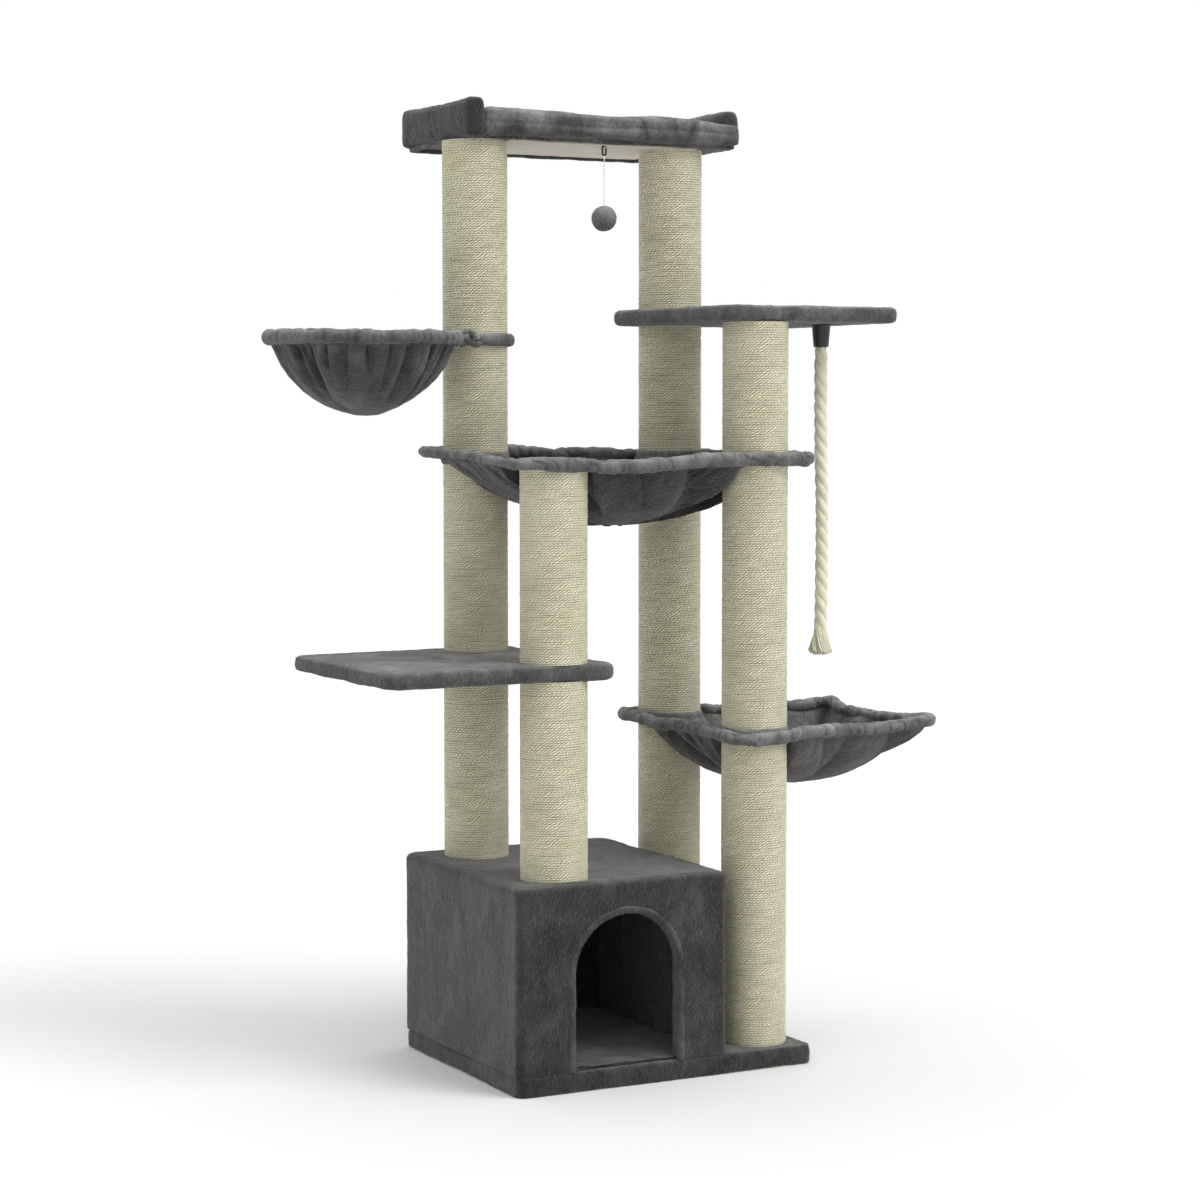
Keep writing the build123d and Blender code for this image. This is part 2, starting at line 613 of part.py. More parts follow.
with BuildPart() as perch_lining:
    box(lining_x, lining_y, (PERCH_Z, deck_z[0]))
    cut_stud_holes(PERCH_LEVEL, PERCH_Z, deck_z[0])
    cut_staple_holes()
save(perch_lining, "perch_lining")

for side, bolster_x in (("left", (PERCH_X[0], PERCH_X[0] + BOLSTER_W)),
                        ("right", (PERCH_X[1] - BOLSTER_W, PERCH_X[1]))):
    with BuildPart() as bolster:
        box(bolster_x, PERCH_Y, (rail_z, PERCH_TOP))
        fillet(bolster.edges().group_by(Axis.Z)[-1] + bolster.edges().filter_by(Axis.Z), PILE * 3)
    save(bolster, f"perch_{side}_bolster")

rail_x = (PERCH_X[0] + BOLSTER_W + GAP, PERCH_X[1] - BOLSTER_W - GAP)
for side, rail_y in (("front", (PERCH_Y[0], PERCH_Y[0] + RAIL_W)), ("back", (PERCH_Y[1] - RAIL_W, PERCH_Y[1]))):
    with BuildPart() as rail:
        box(rail_x, rail_y, (rail_z, rail_z + RAIL_H))
        fillet(rail.edges().group_by(Axis.Z)[-1], PILE * 3)
    save(rail, f"perch_{side}_rail")

# ---------------------------------------------------------------- hanging ball
with BuildPart() as toy_staple:
    with BuildLine():
        FilletPolyline((TOY_X, TOY_Y - STAPLE_HALF_W, PERCH_Z + STAPLE_BITE),
                       (TOY_X, TOY_Y - STAPLE_HALF_W, staple_z),
                       (TOY_X, TOY_Y + STAPLE_HALF_W, staple_z),
                       (TOY_X, TOY_Y + STAPLE_HALF_W, PERCH_Z + STAPLE_BITE), radius=2 * STAPLE_WIRE_R)
    with BuildSketch(Plane(origin=(TOY_X, TOY_Y - STAPLE_HALF_W, PERCH_Z + STAPLE_BITE), z_dir=(0, 0, -1))):
        Circle(STAPLE_WIRE_R)
    sweep()
save(toy_staple, "toy_staple")

# The loop turns about the staple's crown, so the centre of its top bend is on the crown's line.
loop_bend = LOOP_HALF_W - LOOP_WIRE_R
loop_low_z = staple_z - (LOOP_H - 2 * LOOP_HALF_W)
with BuildPart() as toy_loop:
    with BuildLine() as loop_path:
        Line((TOY_X - loop_bend, TOY_Y, staple_z), (TOY_X - loop_bend, TOY_Y, loop_low_z))
        ThreePointArc((TOY_X - loop_bend, TOY_Y, loop_low_z), (TOY_X, TOY_Y, loop_low_z - loop_bend),
                      (TOY_X + loop_bend, TOY_Y, loop_low_z))
        Line((TOY_X + loop_bend, TOY_Y, loop_low_z), (TOY_X + loop_bend, TOY_Y, staple_z))
        ThreePointArc((TOY_X + loop_bend, TOY_Y, staple_z), (TOY_X, TOY_Y, staple_z + loop_bend),
                      (TOY_X - loop_bend, TOY_Y, staple_z))
    with BuildSketch(Plane(origin=(TOY_X - loop_bend, TOY_Y, staple_z), z_dir=(0, 0, -1))):
        Circle(LOOP_WIRE_R)
    sweep()
save(toy_loop, "toy_loop")

string_top = loop_low_z - LOOP_HALF_W - GAP
with BuildPart() as toy_string:
    with BuildSketch(Plane.XY.offset(string_top)):
        with Locations((TOY_X, TOY_Y)):
            Circle(STRING_R)
    extrude(amount=-STRING_LENGTH)
save(toy_string, "toy_string")

with BuildPart() as toy_ball:
    with Locations((TOY_X, TOY_Y, string_top - STRING_LENGTH - BALL_R)):
        Sphere(BALL_R)
save(toy_ball, "toy_ball")

# ---------------------------------------------------------------- hanging rope
ferrule_top = UPPER_SHELF_Z[0]
ferrule_mouth = ferrule_top - FERRULE_H
with BuildPart() as rope_ferrule:
    with BuildSketch(Plane.XY.offset(ferrule_mouth)):
        with Locations((ROPE_X, ROPE_Y)):
            Circle(FERRULE_MOUTH_R)
    with BuildSketch(Plane.XY.offset(ferrule_top)):
        with Locations((ROPE_X, ROPE_Y)):
            Circle(FERRULE_TOP_R)
    loft()
    with BuildSketch(Plane.XY.offset(ferrule_mouth)):
        with Locations((ROPE_X, ROPE_Y)):
            Circle(FERRULE_BORE_R)
    extrude(amount=FERRULE_BORE_DEPTH, mode=Mode.SUBTRACT)
save(rope_ferrule, "rope_ferrule")

with BuildPart() as rope_neck:
    with Locations((ROPE_X, ROPE_Y, ferrule_mouth)):
        Sphere(NECK_R)
save(rope_neck, "rope_neck")

rope_top = ferrule_mouth - NECK_R - GAP
rope_end_z = ferrule_mouth - ROPE_DROP
ROPE_ROUTE = [
    (ROPE_X, ROPE_Y, rope_top),
    (ROPE_X, ROPE_Y, rope_top - ROPE_BENDS[0] * ROPE_DROP),
    (ROPE_X + ROPE_SWAY, ROPE_Y - 1, rope_top - ROPE_BENDS[1] * ROPE_DROP),
    (ROPE_X + ROPE_END_SWAY, ROPE_Y, rope_end_z),
]


def route_radii(route):
    """Bend radius at each inner point of a route: as large as its two straight runs allow."""
    radii = []
    for before, point, after in zip(route, route[1:], route[2:]):
        run_in, run_out = Vector(*point) - Vector(*before), Vector(*after) - Vector(*point)
        half_turn = radians(run_in.get_angle(run_out)) / 2
        radii.append(BEND_SHARE * min(run_in.length, run_out.length) / tan(half_turn))
    return radii


rope_radii = route_radii(ROPE_ROUTE)
print("rope bend radii", [round(radius) for radius in rope_radii])
with BuildPart() as rope:
    with BuildLine() as rope_line:
        FilletPolyline(*ROPE_ROUTE, radius=rope_radii)
    with BuildSketch(Plane(origin=ROPE_ROUTE[0], z_dir=(0, 0, -1))):
        Circle(ROPE_R)
    sweep()
print("rope length", round(rope_line.wires()[0].length, 1))
save(rope, "rope")

end_direction = (Vector(*ROPE_ROUTE[-1]) - Vector(*ROPE_ROUTE[-2])).normalized()
end_plane = Plane(origin=ROPE_ROUTE[-1], z_dir=end_direction)
with BuildPart() as rope_end:
    with BuildSketch(end_plane):
        Circle(ROPE_R)
    with BuildSketch(end_plane.offset(TASSEL_H)):
        Circle(TASSEL_R)
    loft()
save(rope_end, "rope_end")
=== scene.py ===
"""A tall cat tree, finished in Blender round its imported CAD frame. Metres, +Z up, +Y to the back."""

import json
from itertools import product

import bpy
import numpy as np
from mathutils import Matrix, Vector


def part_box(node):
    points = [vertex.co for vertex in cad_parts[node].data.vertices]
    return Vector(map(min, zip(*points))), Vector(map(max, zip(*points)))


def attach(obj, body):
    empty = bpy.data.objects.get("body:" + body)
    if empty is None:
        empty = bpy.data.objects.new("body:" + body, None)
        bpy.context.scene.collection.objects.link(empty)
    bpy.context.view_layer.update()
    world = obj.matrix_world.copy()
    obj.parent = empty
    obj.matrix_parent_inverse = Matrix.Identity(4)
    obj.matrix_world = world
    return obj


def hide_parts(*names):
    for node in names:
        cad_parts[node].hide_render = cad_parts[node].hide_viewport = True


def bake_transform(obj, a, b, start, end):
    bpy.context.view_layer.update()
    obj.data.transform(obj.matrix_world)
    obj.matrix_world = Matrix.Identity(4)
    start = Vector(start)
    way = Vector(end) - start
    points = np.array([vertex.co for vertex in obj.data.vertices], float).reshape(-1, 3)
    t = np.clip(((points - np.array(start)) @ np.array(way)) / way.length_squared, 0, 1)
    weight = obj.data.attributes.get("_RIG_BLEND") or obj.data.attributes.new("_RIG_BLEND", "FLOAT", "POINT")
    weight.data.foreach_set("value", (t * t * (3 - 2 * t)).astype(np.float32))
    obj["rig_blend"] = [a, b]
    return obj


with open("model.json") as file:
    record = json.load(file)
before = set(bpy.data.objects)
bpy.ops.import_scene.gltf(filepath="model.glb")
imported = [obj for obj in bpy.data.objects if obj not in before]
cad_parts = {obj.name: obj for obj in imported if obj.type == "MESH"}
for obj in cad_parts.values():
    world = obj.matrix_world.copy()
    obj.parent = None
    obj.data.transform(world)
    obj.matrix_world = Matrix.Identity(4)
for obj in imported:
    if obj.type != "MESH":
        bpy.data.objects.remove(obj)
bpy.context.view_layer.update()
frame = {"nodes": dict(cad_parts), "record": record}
scene = bpy.context.scene
scene.view_settings.view_transform = "Standard"

MM = 0.001
TREE = "tree"
STEP = 4 * MM  # how far apart an outline's points lie
UP = np.array((0.0, 0.0, 1.0))


# ------------------------ camera
def make_camera():
    """A long lens at chest height, from the front left."""
    data = bpy.data.cameras.new("camera")
    data.sensor_width = 36
    data.lens = 86.7
    camera = bpy.data.objects.new("camera", data)
    camera.location = (-2.489, -4.658, 1.203)
    camera.rotation_euler = Vector((0.4682, 0.8810, -0.0681)).to_track_quat("-Z", "Y").to_euler()
    scene.collection.objects.link(camera)
    scene.camera = camera


make_camera()


# ------------------------ small tools
def node_box(node):
    """Lowest and highest corner of a CAD node, as arrays."""
    low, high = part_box(node)
    return np.array(low), np.array(high)


def lattice(ix, iy, iz, seed):
    """A repeatable value from -1 to 1 at each whole-number point."""
    n = (ix * 374761393 + iy * 668265263 + iz * 1274126177 + seed * 362437) & 0xFFFFFFFF
    n = ((n ^ (n >> 13)) * 1274126177) & 0xFFFFFFFF
    return ((n ^ (n >> 16)) & 0xFFFF) / 32767.5 - 1.0


def noise(points, size, seed=0):
    """Smooth noise from -1 to 1 whose lumps are about size metres across."""
    p = np.asarray(points, float) / size + 5000.0
    whole = np.floor(p).astype(np.int64)
    part = p - whole
    part = part * part * (3 - 2 * part)
    return sum(np.where(corner, part, 1 - part).prod(1) * lattice(*(whole + corner).T, seed)
               for corner in product((0, 1), repeat=3))


def smoothstep(x, low, high):
    """Rises softly from 0 at low to 1 at high."""
    t = np.clip((np.asarray(x, float) - low) / (high - low), 0, 1)
    return t * t * (3 - 2 * t)


def hump(x, centre, width):
    """Rises softly to 1 at the centre and falls off again."""
    return np.exp(-(((x - centre) / width) ** 2))


def unit(rows):
    """Directions, one to a row, brought to length 1."""
    return rows / np.linalg.norm(rows, axis=1)[:, None]


def metres_along(path):
    """How far along a path each of its points lies."""
    return np.append(0, np.cumsum(np.linalg.norm(np.diff(path, axis=0), axis=1)))


def points_at(metres, path, along):
    """The points that lie some metres along a path."""
    return np.stack([np.interp(metres, along, values) for values in path.T], -1)


def add_mesh(name, verts, quads=(), tris=()):
    """A smooth-shaded mesh object from arrays of points, four-cornered and three-cornered faces."""
    mesh = bpy.data.meshes.new(name)
    verts = np.asarray(verts, np.float32).reshape(-1, 3)
    quads = np.asarray(quads, np.int32).reshape(-1, 4)
    tris = np.asarray(tris, np.int32).reshape(-1, 3)
    mesh.vertices.add(len(verts))
    mesh.vertices.foreach_set("co", verts.ravel())
    loops = np.concatenate((quads.ravel(), tris.ravel()))
    mesh.loops.add(len(loops))
    mesh.loops.foreach_set("vertex_index", loops)
    starts = np.concatenate((np.arange(len(quads)) * 4, len(quads) * 4 + np.arange(len(tris)) * 3))
    mesh.polygons.add(len(starts))
    mesh.polygons.foreach_set("loop_start", starts.astype(np.int32))
    mesh.update(calc_edges=True)
    mesh.validate()
    mesh.shade_smooth()
    piece = bpy.data.objects.new(name, mesh)
    scene.collection.objects.link(piece)
    return piece


def ring_quads(rings, count, closed_path=False):
    """Faces between rings of count points each; the last ring joins the first on a closed path."""
    k = np.arange(rings if closed_path else rings - 1)[:, None]
    n = np.arange(count)[None, :]
    a, b = k * count + n, k * count + (n + 1) % count
    up = ((k + 1) % rings - k) * count
    return np.stack((a, b, b + up, a + up), -1).reshape(-1, 4)


def fan(hub, first, count, below=False):
    """Faces from a middle point to the ring of count points that starts at first."""
    n = np.arange(count)
    pair = (first + n, first + (n + 1) % count)
    return np.stack((np.full(count, hub), *(pair[::-1] if below else pair)), -1)


def ring_surface(name, rings, below=True, above=True):
    """Rings stacked from the bottom, round the outside, to the top, each end closed by a middle point."""
    rings = np.asarray(rings)
    levels, count = rings.shape[:2]
    verts, tris = rings.reshape(-1, 3), []
    for closed, first, is_below in ((below, 0, True), (above, (levels - 1) * count, False)):
        if closed:
            tris.append(fan(len(verts), first, count, is_below))
            verts = np.vstack((verts, verts[first:first + count].mean(0)))
    return add_mesh(name, verts, ring_quads(levels, count), np.concatenate(tris))


def read(items, name, width=3):
    """A property of a mesh's points or faces, as an array with one row each."""
    values = np.empty(len(items) * width, np.float32)
    items.foreach_get(name, values)
    return values.reshape(-1, width).astype(float)


def points_of(piece):
    return read(piece.data.vertices, "co")


def normals_of(piece):
    return read(piece.data.vertex_normals, "vector")


def set_points(piece, co):
    piece.data.vertices.foreach_set("co", np.asarray(co, np.float32).ravel())
    piece.data.update()


def ripple(piece, *layers):
    """Pushes the surface in and out by noise; each layer is (height, lump size, seed)."""
    co, no = points_of(piece), normals_of(piece)
    push = sum(height * noise(co, size, seed) for height, size, seed in layers)
    set_points(piece, co + no * push[:, None])
    return piece


def note(piece, name, values):
    """Gives each point a number from 0 to 1 for the plush to read."""
    known = piece.data.attributes
    layer = known.get(name) or known.new(name, "FLOAT", "POINT")
    layer.data.foreach_set("value", np.clip(values, 0, 1).astype(np.float32))


def add_painted_fold_shade(piece, amount):
    """Notes how deep in a fold each point lies, for the plush to darken it as painted shade."""
    layer = piece.data.attributes.get("painted_fold_shade")
    note(piece, "painted_fold_shade", amount + (read(layer.data, "value", 1)[:, 0] if layer else 0))


def crease(piece, depth, size, seed, sharp=4, stretch=(1, 1, 0.6), shade=0.8):
    """Presses an irregular net of sharp valleys into cloth, and notes painted shade in them, as strong as
    shade says.
    """
    co, no = points_of(piece), normals_of(piece)
    valley = (1 - np.abs(noise(co * stretch, size, seed))) ** sharp
    set_points(piece, co - no * (depth * valley)[:, None])
    add_painted_fold_shade(piece, shade * valley)
    return piece


HAIR_R = 0.28 * MM
HAIR_LEAN = np.array((0, 0, -0.5))  # brushed pile hangs a little
# how far hairs scatter, and how much painted light a pile hair gets
HAIR_SCATTER, HAIR_PAINTED_LIGHT = 0.45, 0.6


def fuzz(piece, count, length, seed, where):
    """Stands short pile hairs on a plush skin, where a mask of face middles says, as part of its mesh."""
    rng = np.random.default_rng(seed)
    faces = piece.data.polygons
    middle, normal, area = read(faces, "center"), read(faces, "normal"), read(faces, "area", 1)[:, 0]
    weight = area * where(middle, normal)
    pick = rng.choice(len(faces), count, p=weight / weight.sum())
    root, up = middle[pick], normal[pick]
    jitter = rng.uniform(-0.5, 0.5, (count, 3)) * np.sqrt(area[pick])[:, None]
    root = root + jitter - up * (jitter * up).sum(1)[:, None]
    way = unit(up + HAIR_LEAN + HAIR_SCATTER * rng.normal(size=(count, 3)))
    side = unit(np.cross(way, rng.normal(size=(count, 3))))
    other = np.cross(way, side)
    base = [root - up * 0.5 * MM + HAIR_R * (side * np.cos(a) + other * np.sin(a)) for a in full_turn(3)]
    tip = root + way * (length * rng.uniform(0.5, 1, count))[:, None]
    verts = np.stack((*base, tip), 1).reshape(-1, 3)
    first = np.arange(count)[:, None] * 4
    corners = np.array(((0, 1, 3), (1, 2, 3), (2, 0, 3), (0, 2, 1)))
    tris = np.concatenate([first + corner for corner in corners])
    hairs = add_mesh(f"{piece.name}_hairs", verts, tris=tris)
    # the hairs are noted for painted light, so the plush draws them lighter
    note(hairs, "painted_light_amount", np.full(len(verts), HAIR_PAINTED_LIGHT))
    return join(piece.name, [piece, hairs])


def clear_of(piece, node, corner, gap=1.5 * MM):
    """Keeps a cloth skin outside the round-cornered board that it covers."""
    low, high = node_box(node)
    middle, half = (low + high) / 2, (high - low) / 2
    co = points_of(piece)
    rel = co - middle
    over = np.abs(rel[:, :2]) - (half[:2] - corner)
    reach = np.maximum(over, 0)
    length = np.linalg.norm(reach, axis=1)
    side = length + np.minimum(over.max(1), 0) - corner - gap
    level = np.abs(rel[:, 2]) - half[2] - gap
    inside = (side < 0) & (level < 0)
    by_level = inside & (level > side)
    by_side = inside & ~by_level
    co[by_level, 2] = middle[2] + np.sign(rel[by_level, 2]) * (half[2] + gap)
    way = np.where(length[:, None] > 0, reach, over >= over.max(1)[:, None]) * np.sign(rel[:, :2])
    way /= np.maximum(np.linalg.norm(way, axis=1), 1e-9)[:, None]
    co[by_side, :2] -= (way * side[:, None])[by_side]
    set_points(piece, co)
    return piece


def bake(piece):
    """Applies a piece's modifiers to its mesh."""
    graph = bpy.context.evaluated_depsgraph_get()
    mesh = bpy.data.meshes.new_from_object(piece.evaluated_get(graph))
    piece.modifiers.clear()
    piece.data = mesh
    mesh.shade_smooth()
    return piece


def join(name, pieces):
    """Several meshes as one object."""
    bpy.context.view_layer.objects.active = pieces[0]
    with bpy.context.temp_override(active_object=pieces[0], selected_editable_objects=pieces,
                                   selected_objects=pieces):
        bpy.ops.object.join()
    pieces[0].name = name
    return pieces[0]


def rounded_polygon(corners, radii, step=STEP):
    """Points along a closed outline with rounded corners, anticlockwise, about step apart."""
    corners = np.array(corners, float)
    outline = []
    for corner, before, after, radius in zip(corners, np.roll(corners, 1, 0), np.roll(corners, -1, 0), radii):
        a, b = unit(np.stack((before, after)) - corner)
        half = np.arccos(np.clip(a @ b, -1, 1)) / 2
        to_centre = (a + b) / np.linalg.norm(a + b) * radius / np.sin(half)
        u, v = (way * radius / np.tan(half) - to_centre for way in (a, b))
        turn = np.pi - 2 * half
        steps = max(2, int(np.ceil(radius * turn / step)))
        part = np.arange(steps + 1)[:, None] / steps
        arc = (u * np.sin((1 - part) * turn) + v * np.sin(part * turn)) / np.sin(turn)
        outline.append(corner + to_centre + arc)
    return resample(np.concatenate(outline), step)


def resample(outline, step):
    """A closed outline with evenly spaced points."""
    closed = np.vstack((outline, outline[:1]))
    closed = closed[np.append(np.diff(metres_along(closed)) > 1e-7, True)]
    along = metres_along(closed)
    count = max(8, int(round(along[-1] / step)))
    return points_at(np.arange(count) * along[-1] / count, closed, along)


def rounded_rect(low, high, radius, step=STEP):
    corners = [(low[0], low[1]), (high[0], low[1]), (high[0], high[1]), (low[0], high[1])]
    return rounded_polygon(corners, [radius] * 4, step)


def outward(outline):
    """Outward normals of an anticlockwise outline."""
    along = np.roll(outline, -1, 0) - np.roll(outline, 1, 0)
    return unit(np.stack((along[:, 1], -along[:, 0]), -1))


def lift(flat, z):
    """Points of a flat outline at a height."""
    return np.column_stack((flat, np.full(len(flat), z)))


def full_turn(count):
    return np.linspace(0, 2 * np.pi, count, endpoint=False)


def circle(centre, radius, count):
    """Points of a flat circle."""
    turn = full_turn(count)
    return np.array(centre[:2]) + radius * np.column_stack((np.cos(turn), np.sin(turn)))


def plush_plate(name, outline, z0, z1, edge, power=0.7, crown=0.0, open_below=False):
    """A cloth-covered board: soft rounded edges, and a top that may crown a little."""
    normal = outward(outline)
    middle = (outline.min(0) + outline.max(0)) / 2
    core = outline - normal * edge
    reach = np.linalg.norm(core - middle, axis=1).max()
    scales = np.linspace(0.02, 1, max(6, int(reach / (5 * MM))))
    mid, half = (z0 + z1) / 2, (z1 - z0) / 2
    rings = [] if open_below else [lift(middle + (core - middle) * s, z0) for s in scales[:-1:3]]
    for angle in np.linspace(-np.pi / 2, np.pi / 2, 13):
        c, s = np.cos(angle), np.sin(angle)
        out = edge * (abs(c) ** (0.12 if open_below and s < 0 else power))
        height = mid + half * np.sign(s) * abs(s) ** power
        rings.append(lift(core + normal * out, height))
    for s in scales[::-1][1:]:
        rings.append(lift(middle + (core - middle) * s, z1 + crown * (1 - s**4)))
    return ring_surface(name, rings, below=not open_below)


def tube(name, path, section, count=24, closed=True, reference=UP):
    """A tube along a path. section is its radii (sideways, towards the reference axis), or a function of
    the metres along the path and the angle round it that gives them."""
    path = np.asarray(path, float)
    along = np.roll(path, -1, 0) - np.roll(path, 1, 0)
    if not closed:
        along[0], along[-1] = path[1] - path[0], path[-1] - path[-2]
    along = unit(along)
    side = unit(np.cross(along, reference))
    top = np.cross(side, along)
    angle = -full_turn(count)[None, :]
    wide, tall = section(metres_along(path)[:, None], angle) if callable(section) else section
    verts = (path[:, None, :] + side[:, None, :] * (wide * np.cos(angle))[..., None]
             + top[:, None, :] * (tall * np.sin(angle))[..., None]).reshape(-1, 3)
    quads = ring_quads(len(path), count, closed)
    if closed:
        return add_mesh(name, verts, quads)
    ends = (fan(len(verts), 0, count, below=True), fan(len(verts) + 1, (len(path) - 1) * count, count))
    return add_mesh(name, np.concatenate((verts, [path[0], path[-1]])), quads, np.concatenate(ends))


# ------------------------ materials
class Shading:
    """A material in the making: its shader, and short ways to add the nodes that feed it."""

    def __init__(self, name, **settings):
        self.material = bpy.data.materials.new(name)
        self.material.use_nodes = True
        self.tree = self.material.node_tree
        self.shader = self.tree.nodes["Principled BSDF"]
        for setting, value in settings.items():
            self.shader.inputs[setting.replace("_", " ")].default_value = value

    def add(self, kind, inputs=(), output=0, **settings):
        """One output of a new node. inputs are numbers, or outputs of other nodes, by name or place."""
        made = self.tree.nodes.new(f"ShaderNode{kind}")
        for key, value in settings.items():
            setattr(made, key, value)
        for key, value in dict(inputs).items():
            if isinstance(value, bpy.types.NodeSocket):
                self.tree.links.new(value, made.inputs[key])
            else:
                made.inputs[key].default_value = value
        return made.outputs[output]

    def place(self, scale=(1, 1, 1), rotation=(0, 0, 0), start=None):
        """The place on the piece, or another start, scaled and turned."""
        start = start or self.add("TexCoord", output="Object")
        return self.add("Mapping", {"Vector": start, "Scale": scale, "Rotation": rotation}, "Vector")

    def noise(self, vector, scale, detail=3.0, distortion=0.0, roughness=0.5):
        return self.add("TexNoise", {"Vector": vector, "Scale": scale, "Detail": detail,
                                     "Distortion": distortion, "Roughness": roughness}, "Fac")

    def axes(self, vector):
        return self.add("SeparateXYZ", {0: vector}).node.outputs

    def math(self, operation, *values):
        return self.add("Math", enumerate(values), operation=operation)

    def weighted(self, *terms):
        """The sum of some values, each times its weight."""
        total = 0.0
        for value, weight in terms:
            total = self.math("MULTIPLY_ADD", value, weight, total)
        return total

    def ramp(self, value, stops):
        """A colour ramp; stops are (place, grey or colour)."""
        made = self.add("ValToRGB", {"Fac": value})
        elements = made.node.color_ramp.elements
        while len(elements) < len(stops):
            elements.new(0.5)
        for element, (place, colour) in zip(elements, stops):
            element.position = place
            element.color = (*colour, 1) if hasattr(colour, "__len__") else (colour, colour, colour, 1)
        return made

    def times(self, a, b, factor=1.0):
        """One colour multiplied by another, as far as the factor says."""
        b = (*b, 1) if isinstance(b, tuple) else b
        return self.add("Mix", {0: factor, 6: a, 7: b}, 2, data_type="RGBA", blend_type="MULTIPLY")

    def bump(self, height, strength, distance, below=None):
        inputs = {"Height": height, "Strength": strength, "Distance": distance}
        return self.add("Bump", inputs | ({"Normal": below} if below else {}), "Normal")

    def finish(self, colour, normal=None):
        """Connects the shader and gives the material."""
        self.tree.links.new(colour, self.shader.inputs["Base Color"])
        if normal:
            self.tree.links.new(normal, self.shader.inputs["Normal"])
        return self.material


TOP_PAINTED_LIGHT = 2.25  # painted top light: a level top is made this much lighter than a side


def plush_material(name, colour, contrast=1.0, front=1.0):
    """Short brushed plush: patches where the pile lies differently, tufts, a soft sheen.

    Tops are painted lighter than sides, as painted top light. front is how much of its tone a face that looks
    along -Y keeps: painted shade on front sides. Points noted for painted light are drawn lighter, and points
    noted in a fold's valley get painted shade."""
    plush = Shading(name, Roughness=0.85, Specular_IOR_Level=0.15, Sheen_Weight=0.3 * contrast,
                    Sheen_Roughness=0.4, Sheen_Tint=(0.95, 0.95, 0.95, 1))
    patches = plush.noise(plush.place((1, 1, 0.8)), 14, 5, 0.9, 0.62)
    strokes = plush.noise(plush.place((1, 1, 0.85), (0.5, 0.45, 0.3)), 60, 4, 1.0, 0.62)
    tufts = plush.noise(plush.place((1, 1, 0.6), (0.6, 0.6, 0.4)), 300, 3, 0.5, 0.7)
    brushing = plush.noise(plush.place((1, 1, 0.5)), 11, 3, 0.8, 0.6)
    tone = plush.weighted((patches, 0.5), (strokes, 0.28), (tufts, 0.3))
    dark = tuple(c * (1 - 0.5 * contrast) for c in colour)
    light = tuple(c * (1 + 0.85 * contrast) for c in colour)
    facing = plush.axes(plush.add("NewGeometry", output="Normal"))
    painted_light_amount = plush.add("Attribute", output="Fac", attribute_name="painted_light_amount")
    painted_fold_shade = plush.add("Attribute", output="Fac", attribute_name="painted_fold_shade")
    # painted top light: faces turned up, and points noted for painted light, are drawn lighter
    painted_top_light_level = plush.math("MULTIPLY_ADD", painted_light_amount, 0.26, plush.math("MULTIPLY_ADD", facing[2], 0.5, 0.5))
    # painted shade: faces that look along -Y keep only the front part of their tone
    painted_front_shade_level = plush.math("MULTIPLY_ADD", facing[1], 0.5, 0.5)
    shade = plush.times(plush.ramp(tone, [(0.4, dark), (0.54, colour), (0.7, light)]), (TOP_PAINTED_LIGHT,) * 3)
    # brushing varies at random; then painted top light, painted shade on front faces, painted shade in folds
    for value, stops in ((brushing, [(0.36, 0.7), (0.62, 1.0)]),
                         (painted_top_light_level, [(0.1, 0.36), (0.5, 0.49), (0.66, 0.58), (0.85, 0.86), (0.98, 1.0)]),
                         (painted_front_shade_level, [(0.0, front), (0.35, 1.0)]),
                         (painted_fold_shade, [(0.0, 1.0), (0.5, 0.62), (1.0, 0.3)])):
        shade = plush.times(shade, plush.ramp(value, stops))
    return plush.finish(shade, plush.bump(tufts, 1.0, 3.5 * MM, plush.bump(strokes, 0.7, 4 * MM)))


TWIST_W, TWIST_SLANT = 7.2 * MM, 0.85  # a twisted strand's width round the post, and its lean per coil
# the gap and cut colours are painted shade in the grooves between coils and between strands
STRAW, GAP_PAINTED_SHADE, CUT_PAINTED_SHADE = (0.66, 0.63, 0.43), (0.22, 0.18, 0.09), (0.42, 0.36, 0.2)


